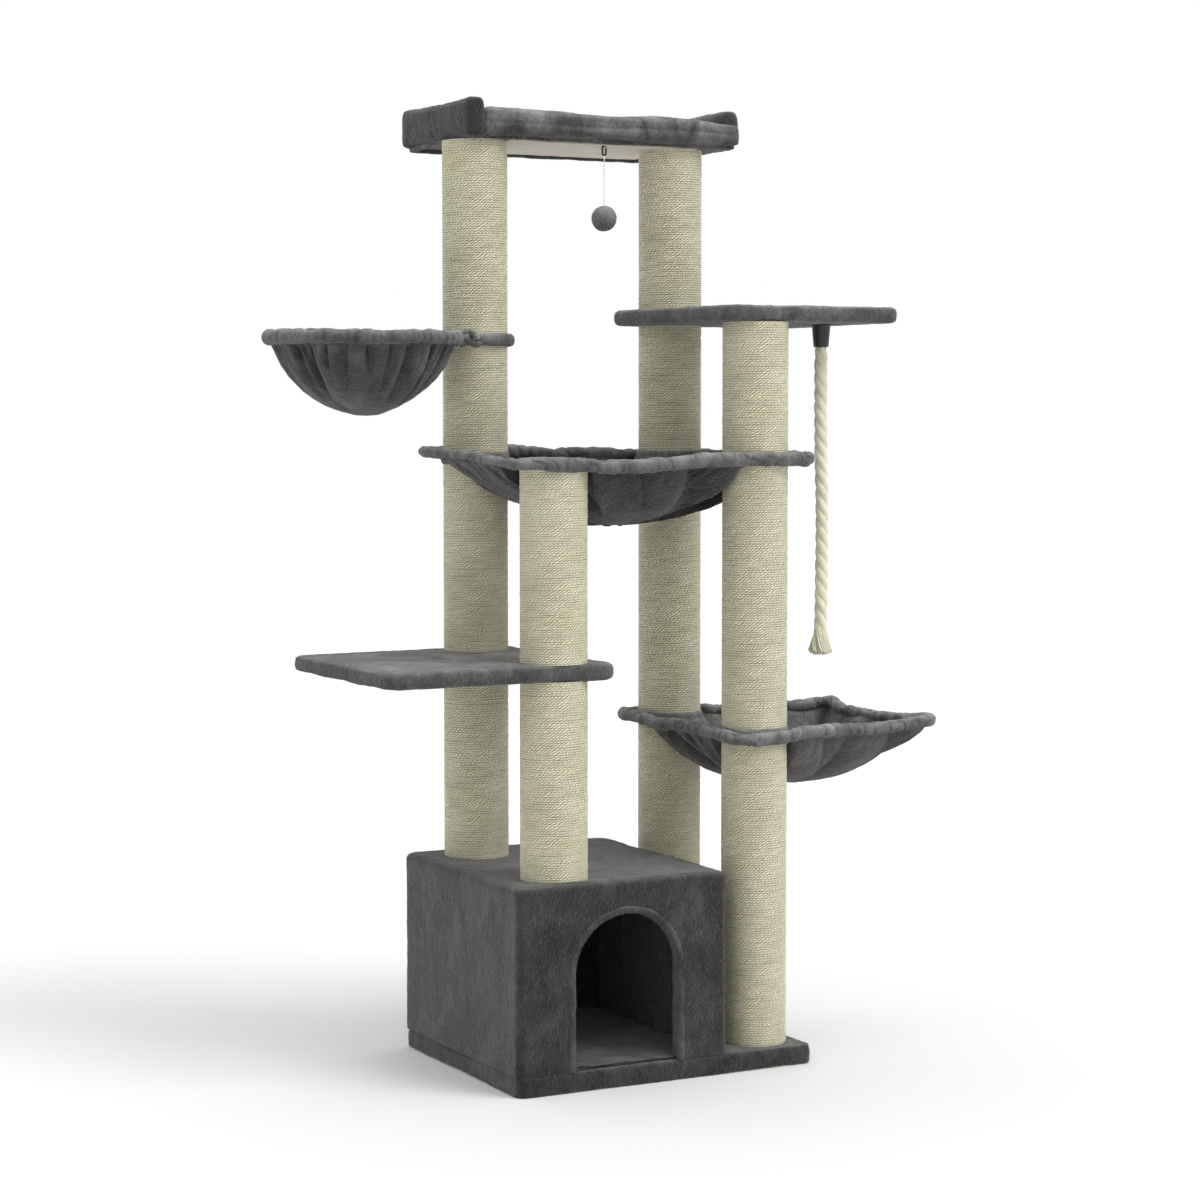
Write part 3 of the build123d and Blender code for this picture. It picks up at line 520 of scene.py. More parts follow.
def sisal_material():
    """Coils of twisted sisal: slanted strands that line up over the coils, loose fibres, uneven painted shade
    in the gaps.
    """
    sisal = Shading("sisal", Roughness=0.5, Sheen_Weight=0.2, Specular_IOR_Level=0.45)
    wound = sisal.add("UVMap", output="UV", uv_map="winding")  # metres round the post, coils up it
    around, coils, _ = sisal.axes(wound)
    wobble = sisal.noise(sisal.place((24, 0.16, 1), start=wound), 1.0, 4, 0.0, 0.6)
    turns = sisal.weighted((around, 1 / TWIST_W), (coils, -TWIST_SLANT), (wobble, 3.5))
    strands = sisal.math("ABSOLUTE", sisal.math("SINE", sisal.math("MULTIPLY", turns, np.pi)))
    painted_cut_shade = sisal.math("POWER", sisal.math("SUBTRACT", 1.0, strands), 2.0)
    middle = sisal.math("ABSOLUTE", sisal.math("SUBTRACT", sisal.math("FRACT", coils), 0.5))
    gap = sisal.math("POWER", sisal.math("MULTIPLY", middle, 2.0), 2.6)
    painted_gap_shade = sisal.noise(sisal.place((22, 0.62, 1), start=wound), 1.0, 4, 0.0, 0.7)
    painted_gap_shade = sisal.ramp(painted_gap_shade, [(0.42, 0.16), (0.56, 0.75), (0.66, 1.0)])
    fibres = sisal.noise(sisal.place((420, 1.1, 1), (0, 0, 0.1), wound), 1.0, 4, 0.4, 0.65)
    blotch = sisal.noise(sisal.place((9, 0.05, 1), start=wound), 1.0, 3)
    tone = sisal.weighted((fibres, 0.45), (strands, 0.28), (blotch, 0.3))
    shade = sisal.ramp(tone, [(0.25, (0.39, 0.35, 0.2)), (0.52, STRAW), (0.78, (0.9, 0.87, 0.7))])
    # painted shade: the gaps between coils, unevenly, and the cuts between strands are darkened
    shade = sisal.times(shade, GAP_PAINTED_SHADE, sisal.math("MULTIPLY", gap, painted_gap_shade))
    shade = sisal.times(shade, CUT_PAINTED_SHADE, sisal.math("MULTIPLY", painted_cut_shade, 0.6))
    return sisal.finish(shade, sisal.bump(fibres, 0.6, 0.6 * MM, sisal.bump(strands, 1.0, 1.6 * MM)))


def fibre_material(name, colour, roughness=0.8, scale=900, stretch=(1, 1, 0.2)):
    """Spun fibre, such as cotton rope, string or elastic."""
    spun = Shading(name, Roughness=roughness, Sheen_Weight=0.2)
    fibres = spun.noise(spun.place(stretch), scale, 3, 0.3, 0.6)
    tone = spun.weighted((fibres, 0.6), (spun.noise(spun.place(), 30), 0.4))
    dark, light = tuple(c * 0.72 for c in colour), tuple(min(1, c * 1.15) for c in colour)
    return spun.finish(spun.ramp(tone, [(0.3, dark), (0.7, light)]), spun.bump(fibres, 0.6, 0.8 * MM))


def hard_material(name, colour, roughness, metallic=0.0, grain=60, depth=0.2):
    """Board, cardboard, plastic or metal with a grain of its own."""
    hard = Shading(name, Roughness=roughness, Metallic=metallic)
    grains = hard.noise(hard.place(), grain, 6, 0.2, 0.7)
    dark, light = tuple(c * 0.7 for c in colour), tuple(min(1, c * 1.2) for c in colour)
    return hard.finish(hard.ramp(grains, [(0.35, dark), (0.65, light)]), hard.bump(grains, depth, 0.5 * MM))


GREY = plush_material("grey_plush", (0.081, 0.081, 0.078))
# the dark and brushed plush get painted shade on faces that look along -Y
DARK = plush_material("dark_plush", (0.04, 0.04, 0.039), 1.25, 0.74)
BRUSHED = plush_material("brushed_plush", (0.062, 0.062, 0.061), 1.0, 0.85)  # the doorway's bound edge
SILVER = plush_material("silver_plush", (0.104, 0.104, 0.102))  # the upper shelf and the round hammock's disc
PALE = plush_material("pale_plush", (0.126, 0.126, 0.124))  # rims and the perch's front, lighter than the grey plush
DEEP = plush_material("deep_plush", (0.023, 0.023, 0.022), 1.2)  # the left bolster
LIGHT = plush_material("light_plush", (0.155, 0.155, 0.152), 0.8)  # the ball
MATERIALS = {
    "grey_plush": GREY,
    "dark_plush": DARK,
    "sisal_rope": sisal_material(),
    "pale_lining": fibre_material("pale_lining", (0.49, 0.445, 0.36), 0.9, 500, (1, 1, 1)),
    "cotton_rope": fibre_material("cotton_rope", (0.72, 0.7, 0.54)),
    "white_string": fibre_material("white_string", (0.82, 0.82, 0.8)),
    "black_elastic": fibre_material("black_elastic", (0.008, 0.008, 0.008), 0.7),
    "black_plastic": hard_material("black_plastic", (0.013, 0.014, 0.012), 0.45, 0.0, 800, 0.05),
    "cardboard": hard_material("cardboard", (0.42, 0.3, 0.18), 0.9, 0.0, 120),
    "particle_board": hard_material("particle_board", (0.5, 0.38, 0.24), 0.85, 0.0, 350, 0.4),
    "zinc_steel": hard_material("zinc_steel", (0.6, 0.6, 0.62), 0.35, 1.0, 200, 0.08),
}


def dress(piece, slot, nodes=(), body=TREE, look=None):
    """Gives a finished piece its material, its body and the CAD nodes that it stands for."""
    piece.data.materials.clear()
    piece.data.materials.append(look or MATERIALS[slot])
    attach(piece, body)
    if nodes:
        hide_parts(*nodes)
    return piece


for entry in frame["record"]["subparts"]:
    node_object = frame["nodes"][entry["node"]]
    for material_slot in node_object.material_slots:
        material_slot.link = "OBJECT"
        material_slot.material = MATERIALS[entry["material_slot"]]


# ------------------------ hanging ball
loop_low, loop_high = node_box("toy_loop")
string_low, string_high = node_box("toy_string")
ball_low, ball_high = node_box("toy_ball")
loop_mid, ball_mid = (loop_low + loop_high) / 2, (ball_low + ball_high) / 2
string_x, string_y = loop_mid[:2]

LOOP_BEND_R = 3.6 * MM
loop_leg = (loop_high[2] - loop_low[2]) / 2 - 5 * MM
loop_turn = full_turn(60)
loop_height = LOOP_BEND_R * np.sin(loop_turn) + loop_leg * np.sign(np.sin(loop_turn))
loop_path = resample(np.column_stack((string_x + LOOP_BEND_R * np.cos(loop_turn), np.full(60, string_y),
                                      loop_mid[2] + loop_height)), 0.8 * MM)
loop = tube("elastic_loop", loop_path, (2 * MM, 0.9 * MM), 12, reference=(0, 1, 0))
ripple(loop, (0.1 * MM, 2 * MM, 800))
dress(loop, "black_elastic", ["toy_loop"], "toy_loop_body")


def nurbs(name, points, bevel):
    """A smooth curve through a cord's route."""
    data = bpy.data.curves.new(name, "CURVE")
    data.dimensions = "3D"
    line = data.splines.new("NURBS")
    line.points.add(len(points) - 1)
    for point, co in zip(line.points, points):
        point.co = (*co, 1)
    line.order_u = 3
    line.use_endpoint_u = True
    line.resolution_u = 24
    data.bevel_depth = bevel
    data.bevel_resolution = 4
    data.use_fill_caps = bevel > 0
    curve = bpy.data.objects.new(name, data)
    scene.collection.objects.link(curve)
    return curve


string_route = [(string_x, string_y, z) for z in np.linspace(string_high[2], string_low[2], 4)]
string = nurbs("toy_cord", string_route, 1.1 * MM)
string.data.materials.append(MATERIALS["white_string"])
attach(string, "toy_hang")
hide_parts("toy_string")


def fuzzy_ball(name, centre, radius, seed, squash=1.0):
    """A plush ball."""
    rings = [lift(circle(centre, radius * np.cos(a), 100), centre[2] + radius * squash * np.sin(a))
             for a in np.linspace(-np.pi / 2, np.pi / 2, 66)[1:-1]]
    return ripple(ring_surface(name, rings), (0.02 * radius, radius * 0.6, seed),
                  (0.018 * radius, radius * 0.12, seed + 1))


ball = fuzzy_ball("plush_ball", ball_mid, (ball_high[2] - ball_low[2]) / 2 + 0.5 * MM, 810)
dress(ball, "grey_plush", ["toy_ball"], "toy_hang", LIGHT)
top_knot = fuzzy_ball("cord_knot", (string_x, string_y, string_high[2] - 1.5 * MM), 2.6 * MM, 820, 0.8)
dress(top_knot, "white_string", body="toy_hang")


# ------------------------ hanging rope
MOUTH = np.array((0.400, -0.096, 1.306))
ROPE_ROUTE = [(0.400, -0.096, 1.2935), (0.400, -0.096, 1.14824), (0.405, -0.097, 0.9707),
              (0.402, -0.096, 0.768)]
STRAND_R, STRAND_OUT, LAY = 7.6 * MM, 4.9 * MM, 80 * MM
YARN_LAY = 0.55 * LAY  # a strand's yarns turn faster than the strands turn round each other
NECK_IN, NECK_H = 0.1, 16 * MM
YARNS, YARN_R = 150, 1.25 * MM
TASSEL_H, TASSEL_RISE = 50 * MM, 14 * MM  # its height, and how much of it lies over the rope's end

guide = nurbs("rope_guide", [tuple(MOUTH), *ROPE_ROUTE], 0)
line = np.array([v.co for v in bpy.data.meshes.new_from_object(guide).vertices], float)
bpy.data.objects.remove(guide)
line = line[np.append(True, np.diff(metres_along(line)) > 1e-6)]
along = metres_along(line)
ROPE_LENGTH = along[-1]
stations = np.linspace(0, ROPE_LENGTH, 270)
line = points_at(stations, line, along)


def neck(s):
    """The strands are pressed together where they leave the ferrule."""
    return 1 - NECK_IN * hump(s, 0, NECK_H)


def strand(s, angle):
    """A strand's radii, with the yarns it is spun from."""
    yarn = np.abs(np.sin(3.5 * (angle - 2 * np.pi * s / YARN_LAY)))
    size = STRAND_R * neck(s) * (0.93 + 0.09 * yarn)
    return size, size


strands = []
for k in range(3):
    phase = 2 * np.pi * (stations / LAY + k / 3)
    unevenness = noise(np.column_stack((stations, stations * 0 + k, stations * 0)), 0.04, 900)
    out = STRAND_OUT * neck(stations) * (0.98 + 0.05 * unevenness)
    path = line + np.column_stack((np.cos(phase) * out, np.sin(phase) * out, phase * 0))
    strands.append(tube(f"rope_strand_{k}", path, strand, 40, closed=False, reference=(1, 0, 0)))
rope = join("hanging_rope", strands)
ripple(rope, (0.3 * MM, 9 * MM, 905), (0.25 * MM, 3 * MM, 906))
rope.data.materials.clear()
rope.data.materials.append(MATERIALS["cotton_rope"])
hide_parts("rope_neck", "rope")
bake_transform(rope, "rope_swivel", "rope_hang", start=tuple(MOUTH), end=tuple(MOUTH - (0, 0, 0.06)))

rng = np.random.default_rng(7)
yarns = []
for k in range(YARNS):
    turn, spread = rng.uniform(0, 2 * np.pi), np.sqrt(rng.uniform(0.1, 1))
    steps = np.linspace(0, 1, 12)
    reach = spread * (11.5 * MM + (8.5 * MM + rng.uniform(0, 3 * MM)) * steps**1.4)
    swirl = turn + 0.7 * steps + rng.uniform(-0.15, 0.15)
    drop = (TASSEL_H - rng.uniform(0, 4 * MM) - 6 * MM * spread**3) * steps
    path = np.column_stack((line[-1, 0] + reach * np.cos(swirl), line[-1, 1] + reach * np.sin(swirl),
                            line[-1, 2] + TASSEL_RISE - drop))
    path[:, :2] += 0.8 * MM * np.column_stack((noise(path, 0.012, k), noise(path, 0.012, k + 200)))
    yarns.append(tube(f"yarn_{k}", path, (YARN_R, YARN_R), 8, closed=False, reference=(1, 0, 0)))
tassel = join("rope_tassel", yarns)
dress(tassel, "cotton_rope", ["rope_end"], "rope_hang")

cap_low, cap_high = node_box("rope_ferrule")
CAP_FOOT = [(0.1, 30), (12.8, 30), (12.8, 1), (13.3, 0), (14, 0.7), (15.6, 20)]  # radius, height in mm
CAP_HEAD = [(17.2, -3.5), (18.2, -3), (18.6, -1.8), (18.2, -0.4), (17, 0), (0.1, 0)]  # the same from its top
ferrule = ring_surface("ferrule_cap", [lift(circle(MOUTH, r * MM, 72), start + z * MM)
                                       for start, rings in ((cap_low[2], CAP_FOOT), (cap_high[2], CAP_HEAD))
                                       for r, z in rings])
crisp = ferrule.modifiers.new("crisp", "BEVEL")
crisp.width = 0.3 * MM
crisp.limit_method = "ANGLE"
dress(bake(ferrule), "black_plastic", ["rope_ferrule"])


# ------------------------ rope-wound posts
COIL_PITCH = 4.3 * MM
COIL_ROWS, COIL_STEPS = 5, 96
COIL_BULGE, COIL_ARC = 2.1 * MM, 0.96  # how far a coil stands out, and how much of its half circle shows
COIL_WANDER = 0.35 * MM


def winding(node, seed):
    """One post section's sisal: a single rope wound as a tight helix, each coil bulging on its own."""
    low, high = node_box(node)
    centre, radius = (low + high) / 2, (high[0] - low[0]) / 2
    turns = round((high[2] - low[2]) / COIL_PITCH)
    pitch = (high[2] - low[2]) / turns
    row = np.arange((turns + 2) * COIL_ROWS + 1)[:, None]
    step = np.arange(COIL_STEPS)[None, :]
    coil = row // COIL_ROWS + step / COIL_STEPS
    across = 2 * (row % COIL_ROWS) / COIL_ROWS - 1
    angle = np.pi / 2 + step * 2 * np.pi / COIL_STEPS
    flat = np.zeros(coil.size)
    wander = noise(np.column_stack((coil.ravel() * 3, flat, flat)), 1, seed).reshape(coil.shape)
    slip = noise(np.column_stack((coil.ravel() * 3, flat, flat)), 1, seed + 1).reshape(coil.shape)
    slip = slip * (row % COIL_ROWS > 0)
    around = radius - COIL_BULGE * (1 - np.sqrt(1 - (COIL_ARC * across) ** 2)) + COIL_WANDER * wander
    z = low[2] + (row / COIL_ROWS + step / COIL_STEPS - 1) * pitch + COIL_WANDER * slip
    z = np.clip(np.broadcast_to(z, around.shape), low[2] - 0.5 * MM, high[2] + 0.5 * MM)
    verts = np.stack((centre[0] + around * np.cos(angle), centre[1] + around * np.sin(angle), z), -1)
    r = np.arange(len(row) - 1)[:, None] * np.ones(COIL_STEPS, int)
    a = np.ones(len(row) - 1, int)[:, None] * step
    inside = (a < COIL_STEPS - 1) | (r + 1 + COIL_ROWS < len(row))
    r, a = r[inside], a[inside]

    def index(r, a):
        return np.where(a < COIL_STEPS, r * COIL_STEPS + a, (r + COIL_ROWS) * COIL_STEPS)

    quads = np.stack((index(r, a), index(r, a + 1), index(r + 1, a + 1), index(r + 1, a)), -1)
    piece = add_mesh(f"{node}_winding", verts, quads)
    u = np.stack((a, a + 1, a + 1, a), -1) / COIL_STEPS * 2 * np.pi * radius
    v = np.stack((r, r, r + 1, r + 1), -1) / COIL_ROWS
    layer = piece.data.uv_layers.new(name="winding")
    layer.data.foreach_set("uv", np.stack((u, v), -1).astype(np.float32).ravel())
    return dress(piece, "sisal_rope", [node])


for order, sisal_node in enumerate(sorted(n for n in frame["nodes"] if n.startswith("sisal_"))):
    winding(sisal_node, 10 * order)


# ------------------------ shelves and foot
def pile_ripple(piece, seed, dent=1.2 * MM):
    """Cloth over a board: shallow dents, brushed tufts and the pile's own unevenness."""
    return ripple(piece, (dent, 0.075, seed), (0.5 * MM, 0.02, seed + 1), (0.45 * MM, 0.007, seed + 2))


def shelf(name, cover, edge, corner, slot, seed, open_below=False, look=None):
    """A plush-covered board, with pile standing round its edge."""
    low, high = node_box(cover)
    outline = rounded_rect(low[:2], high[:2], corner, 3 * MM)
    plate = plush_plate(name, outline, low[2], high[2], edge, 0.82, open_below=open_below)
    pile_ripple(plate, seed)
    clear_of(plate, cover.replace("_cover", "_board"), corner - 3 * MM)
    plate = fuzz(plate, 12000, 2.6 * MM, seed + 5, lambda middle, normal: np.abs(normal[:, 2]) < 0.75)
    co = points_of(plate)
    co[:, 2] = np.maximum(co[:, 2], 0)
    set_points(plate, co)
    return dress(plate, slot, [cover], look=look)


shelf("lower_shelf_plush", "lower_shelf_cover", 14 * MM, 28 * MM, "grey_plush", 210)
shelf("upper_shelf_plush", "upper_shelf_cover", 14 * MM, 28 * MM, "grey_plush", 220, look=SILVER)
shelf("base_plush", "base_cover", 6 * MM, 17 * MM, "dark_plush", 230, open_below=True)


# ------------------------ house
HOUSE_LOW, HOUSE_HIGH = node_box("house_cover")
ROOM_LOW, ROOM_HIGH = node_box("house_lining")
TRIM_LOW, TRIM_HIGH = node_box("arch_trim")
DOOR_X = (TRIM_LOW[0] + TRIM_HIGH[0]) / 2
TRIM_W = 10 * MM
DOOR_R = (TRIM_HIGH[0] - TRIM_LOW[0]) / 2 - TRIM_W
SPRING_Z = TRIM_HIGH[2] - TRIM_W - DOOR_R
COVER_LOFT = 2.5 * MM  # how far the plush stands off the boards beyond its own thickness


def in_doorway(points, grow):
    """Which points lie in the arched doorway, grown by a margin."""
    x, y, z = points[..., 0] - DOOR_X, points[..., 1], points[..., 2]
    reach = np.hypot(x, np.maximum(z - SPRING_Z, 0))
    return (reach < DOOR_R + grow) & (y < ROOM_LOW[1] + 20 * MM)


def walls(name, low, high, corner, tops, floor_z, grow, step=STEP):
    """Four walls and a top, less the doorway. tops are (inset, height) from the wall's head inwards."""
    outline = rounded_rect(low, high, corner, step)
    middle, half = (low + high) / 2, (high - low) / 2
    rings = [lift(outline, z) for z in np.arange(floor_z, tops[0][1], step)]
    rings += [lift(middle + (outline - middle) * (half - d) / half, z) for d, z in tops]
    inner = middle + (outline - middle) * (half - tops[-1][0]) / half
    rings += [lift(middle + (inner - middle) * s, tops[-1][1]) for s in np.linspace(1, 0.02, 50)[1:]]
    flat, count = np.concatenate(rings), len(outline)
    quads = ring_quads(len(rings), count)
    quads = quads[~in_doorway(flat[quads].mean(1), grow)]
    last = len(flat) - count
    return add_mesh(name, np.vstack((flat, flat[last:].mean(0))), quads, fan(len(flat), last, count))


def rounded_head(top, radius, seam_in, seam_depth):
    """The wall's head: rounded over, then a seam groove, then the top."""
    arc = [(radius * (1 - np.cos(a)), top - radius * (1 - np.sin(a))) for a in np.linspace(0, np.pi / 2, 9)]
    groove = [(seam_in + offset, top - depth * seam_depth)
              for offset, depth in ((-1.5 * MM, 0.3), (0, 1), (1.5 * MM, 0.3), (4 * MM, -0.2), (9 * MM, 0))]
    return arc[:-1] + [(radius, top)] + groove


def near_edges(middle, normal):
    """The house cover's sewn edges, where two of its five faces meet."""
    gaps = np.abs(np.column_stack((middle[:, :2] - HOUSE_LOW[:2], middle - HOUSE_HIGH)))
    return np.sort(gaps, 1)[:, 1] < 8 * MM


house = walls("house_plush", HOUSE_LOW[:2] - COVER_LOFT, HOUSE_HIGH[:2] + COVER_LOFT, 14 * MM,
              rounded_head(HOUSE_HIGH[2] + MM, 12 * MM, 16 * MM, 1.8 * MM), HOUSE_LOW[2], TRIM_W / 2)
ripple(house, (1.6 * MM, 0.09, 301), (0.7 * MM, 0.024, 302), (0.5 * MM, 0.009, 303))
house = fuzz(house, 9000, 3 * MM, 304, near_edges)
dress(house, "dark_plush", ["house_cover"])

room = walls("house_inside", ROOM_LOW[:2] + MM, ROOM_HIGH[:2] - MM, 5 * MM,
             [(0, ROOM_HIGH[2] - 3 * MM), (3 * MM, ROOM_HIGH[2] - MM)], ROOM_LOW[2], TRIM_W / 2, 8 * MM)
room.data.flip_normals()
ripple(room, (0.8 * MM, 0.05, 305), (0.4 * MM, 0.02, 306))
dress(room, "dark_plush", ["house_lining"])

mat_low, mat_high = node_box("house_floor_mat")
mat_front = (mat_low[0], HOUSE_LOW[1] + 3 * MM)  # it is pushed up to the doorway's sill
mat = plush_plate("floor_mat_plush", rounded_rect(mat_front, mat_high[:2], 14 * MM), mat_low[2], mat_high[2],
                  5 * MM, crown=2 * MM)
ripple(mat, (5.5 * MM, 0.085, 310), (1.6 * MM, 0.026, 311), (0.4 * MM, 0.007, 312))
crease(mat, 6 * MM, 0.11, 313, 3, (1, 0.55, 1), 0.6)
crease(mat, 2.5 * MM, 0.05, 314, 3, (1, 0.7, 1), 0.55)
dress(mat, "dark_plush", ["house_floor_mat"])

arch_r = DOOR_R + TRIM_W / 2
trim_y = (TRIM_LOW[1] + TRIM_HIGH[1]) / 2
legs = np.arange(HOUSE_LOW[2], SPRING_Z, 3 * MM)
arch_path = ([(DOOR_X + arch_r, trim_y, z) for z in legs]
             + [(DOOR_X + arch_r * np.cos(a), trim_y, SPRING_Z + arch_r * np.sin(a))
                for a in np.linspace(0, np.pi, 110)[1:-1]]
             + [(DOOR_X - arch_r, trim_y, z) for z in legs[::-1]])
trim_depth = (TRIM_HIGH[1] - TRIM_LOW[1]) / 2 + 0.6 * MM


def trim_section(s, angle):
    """A square with well rounded corners."""
    shape = (np.abs(np.cos(angle)) ** 4 + np.abs(np.sin(angle)) ** 4) ** -0.25
    return TRIM_W * 0.66 * shape, trim_depth * shape


trim = tube("arch_binding", arch_path, trim_section, 28, closed=False, reference=(0, 1, 0))
ripple(trim, (0.9 * MM, 0.03, 320), (0.8 * MM, 0.008, 321), (0.5 * MM, 0.004, 322))
trim = fuzz(trim, 9000, 3.4 * MM, 325, lambda middle, normal: normal[:, 1] < 0.3)
dress(trim, "dark_plush", ["arch_trim"], look=BRUSHED)


# ------------------------ hammocks
def rim(name, path, radius, lumps, seed, pinch=1.0, size=0.022):
    """A plush sleeve over a frame's ring; radius may be a function of the points on its path."""
    path = resample(path, 3 * MM)
    radii = np.broadcast_to(radius(path) if callable(radius) else radius, len(path))[:, None]
    piece = tube(name, path, (radii, radii * 1.02), 32)
    ripple(piece, (0.55 * lumps, 0.036, seed), (0.3 * lumps, 0.012, seed + 7), (0.5 * MM, 0.005, seed + 6))
    return crease(piece, lumps * pinch, size, seed + 3, shade=0.55)


def ray_lengths(outline, centre, angles):
    """Distance from the centre to a closed outline along each angle."""
    rel = outline - centre
    bearing = np.unwrap(np.arctan2(rel[:, 1], rel[:, 0]))
    reach = np.linalg.norm(rel, axis=1)
    bearing, reach = np.append(bearing, bearing[0] + 2 * np.pi), np.append(reach, reach[0])
    wrapped = (angles - bearing[0]) % (2 * np.pi) + bearing[0]
    return np.interp(wrapped, bearing, reach)


ANGLES = np.arange(480) * 2 * np.pi / 480
CAP_LEVELS = 72
POST_LOBE_R = 64 * MM
BAG_CLEAR = 62 * MM  # a bag's mouth is sewn to the discs, just clear of the posts
CLOTH_T = 3 * MM
LEFT_X, RIGHT_X, POST_Y = -0.1895, 0.221, 0.158


def bag_mouth(outline, centre, posts):
    """How far a bag reaches in each direction: to the rim, but short of each post that it is cut round."""
    reach = ray_lengths(outline, centre, ANGLES)
    for post in posts:
        away = np.array(post) - centre
        distance = np.linalg.norm(away)
        offset = np.abs((ANGLES - np.arctan2(away[1], away[0]) + np.pi) % (2 * np.pi) - np.pi)
        side = distance * np.sin(np.minimum(offset, np.pi / 2))
        near = distance * np.cos(offset) - np.sqrt(np.maximum(BAG_CLEAR**2 - side**2, 0))
        reach = np.minimum(reach, near + (reach - near) * smoothstep(side, BAG_CLEAR, BAG_CLEAR * 1.1))
    kernel = np.array((1, 2, 3, 2, 1)) / 9
    return np.convolve(np.concatenate((reach[-2:], reach, reach[:2])), kernel, "valid")


def pleats(t, mouth, count, depth, width, ends, lean, seed):
    """Sharp valleys that start at a rim, unevenly spaced, each as deep, wide and long as chance has it."""
    rng = np.random.default_rng(seed)
    push = np.zeros((len(t), len(ANGLES)))
    for k in range(count):
        place = (k + rng.uniform(-0.38, 0.38)) * 2 * np.pi / count
        deep, wide = depth * rng.uniform(0.3, 1.0), width * rng.uniform(0.7, 1.5)
        end, slant = ends * rng.uniform(0.5, 1.2), lean + rng.uniform(-0.2, 0.2)
        away = (ANGLES[None, :] - place - slant * t + np.pi) % (2 * np.pi) - np.pi
        valley = np.maximum(1 - np.abs(away) * mouth[None, :] / (wide * (1 + 0.8 * t)), 0) ** 1.7
        push -= deep * valley * (1 - smoothstep(t, 0.25 * end, end))
    return push


def bag(name, centre, reach, top_z, bottom_z, half_angle, folds, seed):
    """A cloth bag hung from a rim, pleated by folds of (count, depth, width, part of the fall, lean)."""
    t = np.linspace(0, 1, CAP_LEVELS)[:, None]
    width = np.sin(half_angle * (1 - t)) / np.sin(half_angle)
    fall = (np.cos(half_angle * (1 - t)) - np.cos(half_angle)) / (1 - np.cos(half_angle))
    push = sum(pleats(t, reach, *fold, seed + 7 * k) for k, fold in enumerate(folds))
    push *= (0.25 + 0.75 * smoothstep(t, 0, 0.09)) * (1 - smoothstep(t, 0.8, 0.97))
    radius = reach[None, :] * width + push * (0.3 + 0.7 * width)
    z = top_z - (top_z - bottom_z) * fall - push * 0.6 * fall
    verts = np.stack((centre[0] + radius * np.cos(ANGLES), centre[1] + radius * np.sin(ANGLES), z), -1)
    piece = ring_surface(name, verts[::-1][1:], above=False)
    deepest = max(depth for _, depth, *_ in folds)
    # painted shade in the pleats' valleys
    add_painted_fold_shade(piece, np.append((-push[::-1][1:] / deepest).ravel(), 0) * 0.75)
    ripple(piece, (3 * MM, 0.07, seed + 49), (1.5 * MM, 0.03, seed + 50), (0.5 * MM, 0.012, seed + 51),
           (0.35 * MM, 0.006, seed + 52))
    thick = piece.modifiers.new("cloth", "SOLIDIFY")
    thick.thickness = CLOTH_T
    thick.offset = -1
    bake(piece)
    # painted light: the bag's inside faces are noted to be drawn lighter
    to_axis = np.array((*centre, top_z)) - points_of(piece)
    note(piece, "painted_light_amount", (normals_of(piece) * to_axis).sum(1) > 0)
    return piece


def lobes(name, centres, level, radius=POST_LOBE_R, seed=0, edge=9 * MM, power=0.7, lowered=0.0):
    """Plush discs that a post's two sections clamp, one on each post; the first one's top may be lowered."""
    made = []
    for k, centre in enumerate(centres):
        top = level[1] - (0 if k else lowered)
        disc = plush_plate(f"{name}_{k}", circle(centre, radius, 120), level[0], top, edge, power)
        made.append(pile_ripple(disc, seed + 5 * k, 1.5 * MM))
    return join(name, made)


def framed_hammock(name, outline, line, sleeve, creases, posts, centre, bottom_z, half_angle, folds, seed,
                   look=None, lowered=0.0):
    """A hammock on its frame: a sleeve along a line, a disc at each post, and a bag cut round the posts.

    sleeve is its (radius, lumps) and creases their (depth, size) for the rim."""
    low, high = node_box(f"{name}_sleeve")
    edge = rim(f"{name}_rim", line, *sleeve, seed + 10, *creases)
    discs = lobes(f"{name}_discs", posts, (low[2], high[2]), seed=seed + 20, lowered=lowered)
    dress(join(f"{name}_plush", [edge, discs]), "grey_plush", [f"{name}_sleeve", f"{name}_frame"], look=PALE)
    cloth = bag(f"{name}_cloth", centre, bag_mouth(outline, centre, posts), (low[2] + high[2]) / 2 - 2 * MM,
                bottom_z, half_angle, folds, seed + 30)
    return dress(cloth, "grey_plush", [f"{name}_bag"], look=look)


# middle hammock
RIM_R, RIM_IN = 13.2 * MM, 11 * MM
m_low, m_high = node_box("middle_hammock_sleeve")
rim_mid = (m_low[2] + m_high[2]) / 2
middle_path = rounded_rect(m_low[:2] + RIM_IN, m_high[:2] - RIM_IN, 39 * MM)
middle_posts = [(x, y) for x in (LEFT_X, RIGHT_X) for y in (-POST_Y, POST_Y)]
rim_x, rim_y = middle_path.T
wave = noise(lift(middle_path, 0), 0.11, 401)
loose = smoothstep(0.16 - rim_x, 0, 0.15)
front = smoothstep(-rim_y, 0, 0.2)
sag = 9 * MM * front * hump(rim_x, -0.07, 0.13)
rise = 8 * MM * (1 - front) * hump(rim_x, -0.12, 0.2)
open_end = hump(rim_x, m_low[0], 0.07) * (2 * MM + 30 * rim_y * MM)  # the loose end stands open
middle_line = np.column_stack((middle_path,
                               rim_mid + 3 * MM * wave * (0.3 + 0.7 * loose) - sag + rise + open_end))


def thin_at_left(points):
    """The sleeve is slack and thin round the loose end."""
    return RIM_R * (1 - 0.25 * hump(points[:, 0], m_low[0], 0.05))


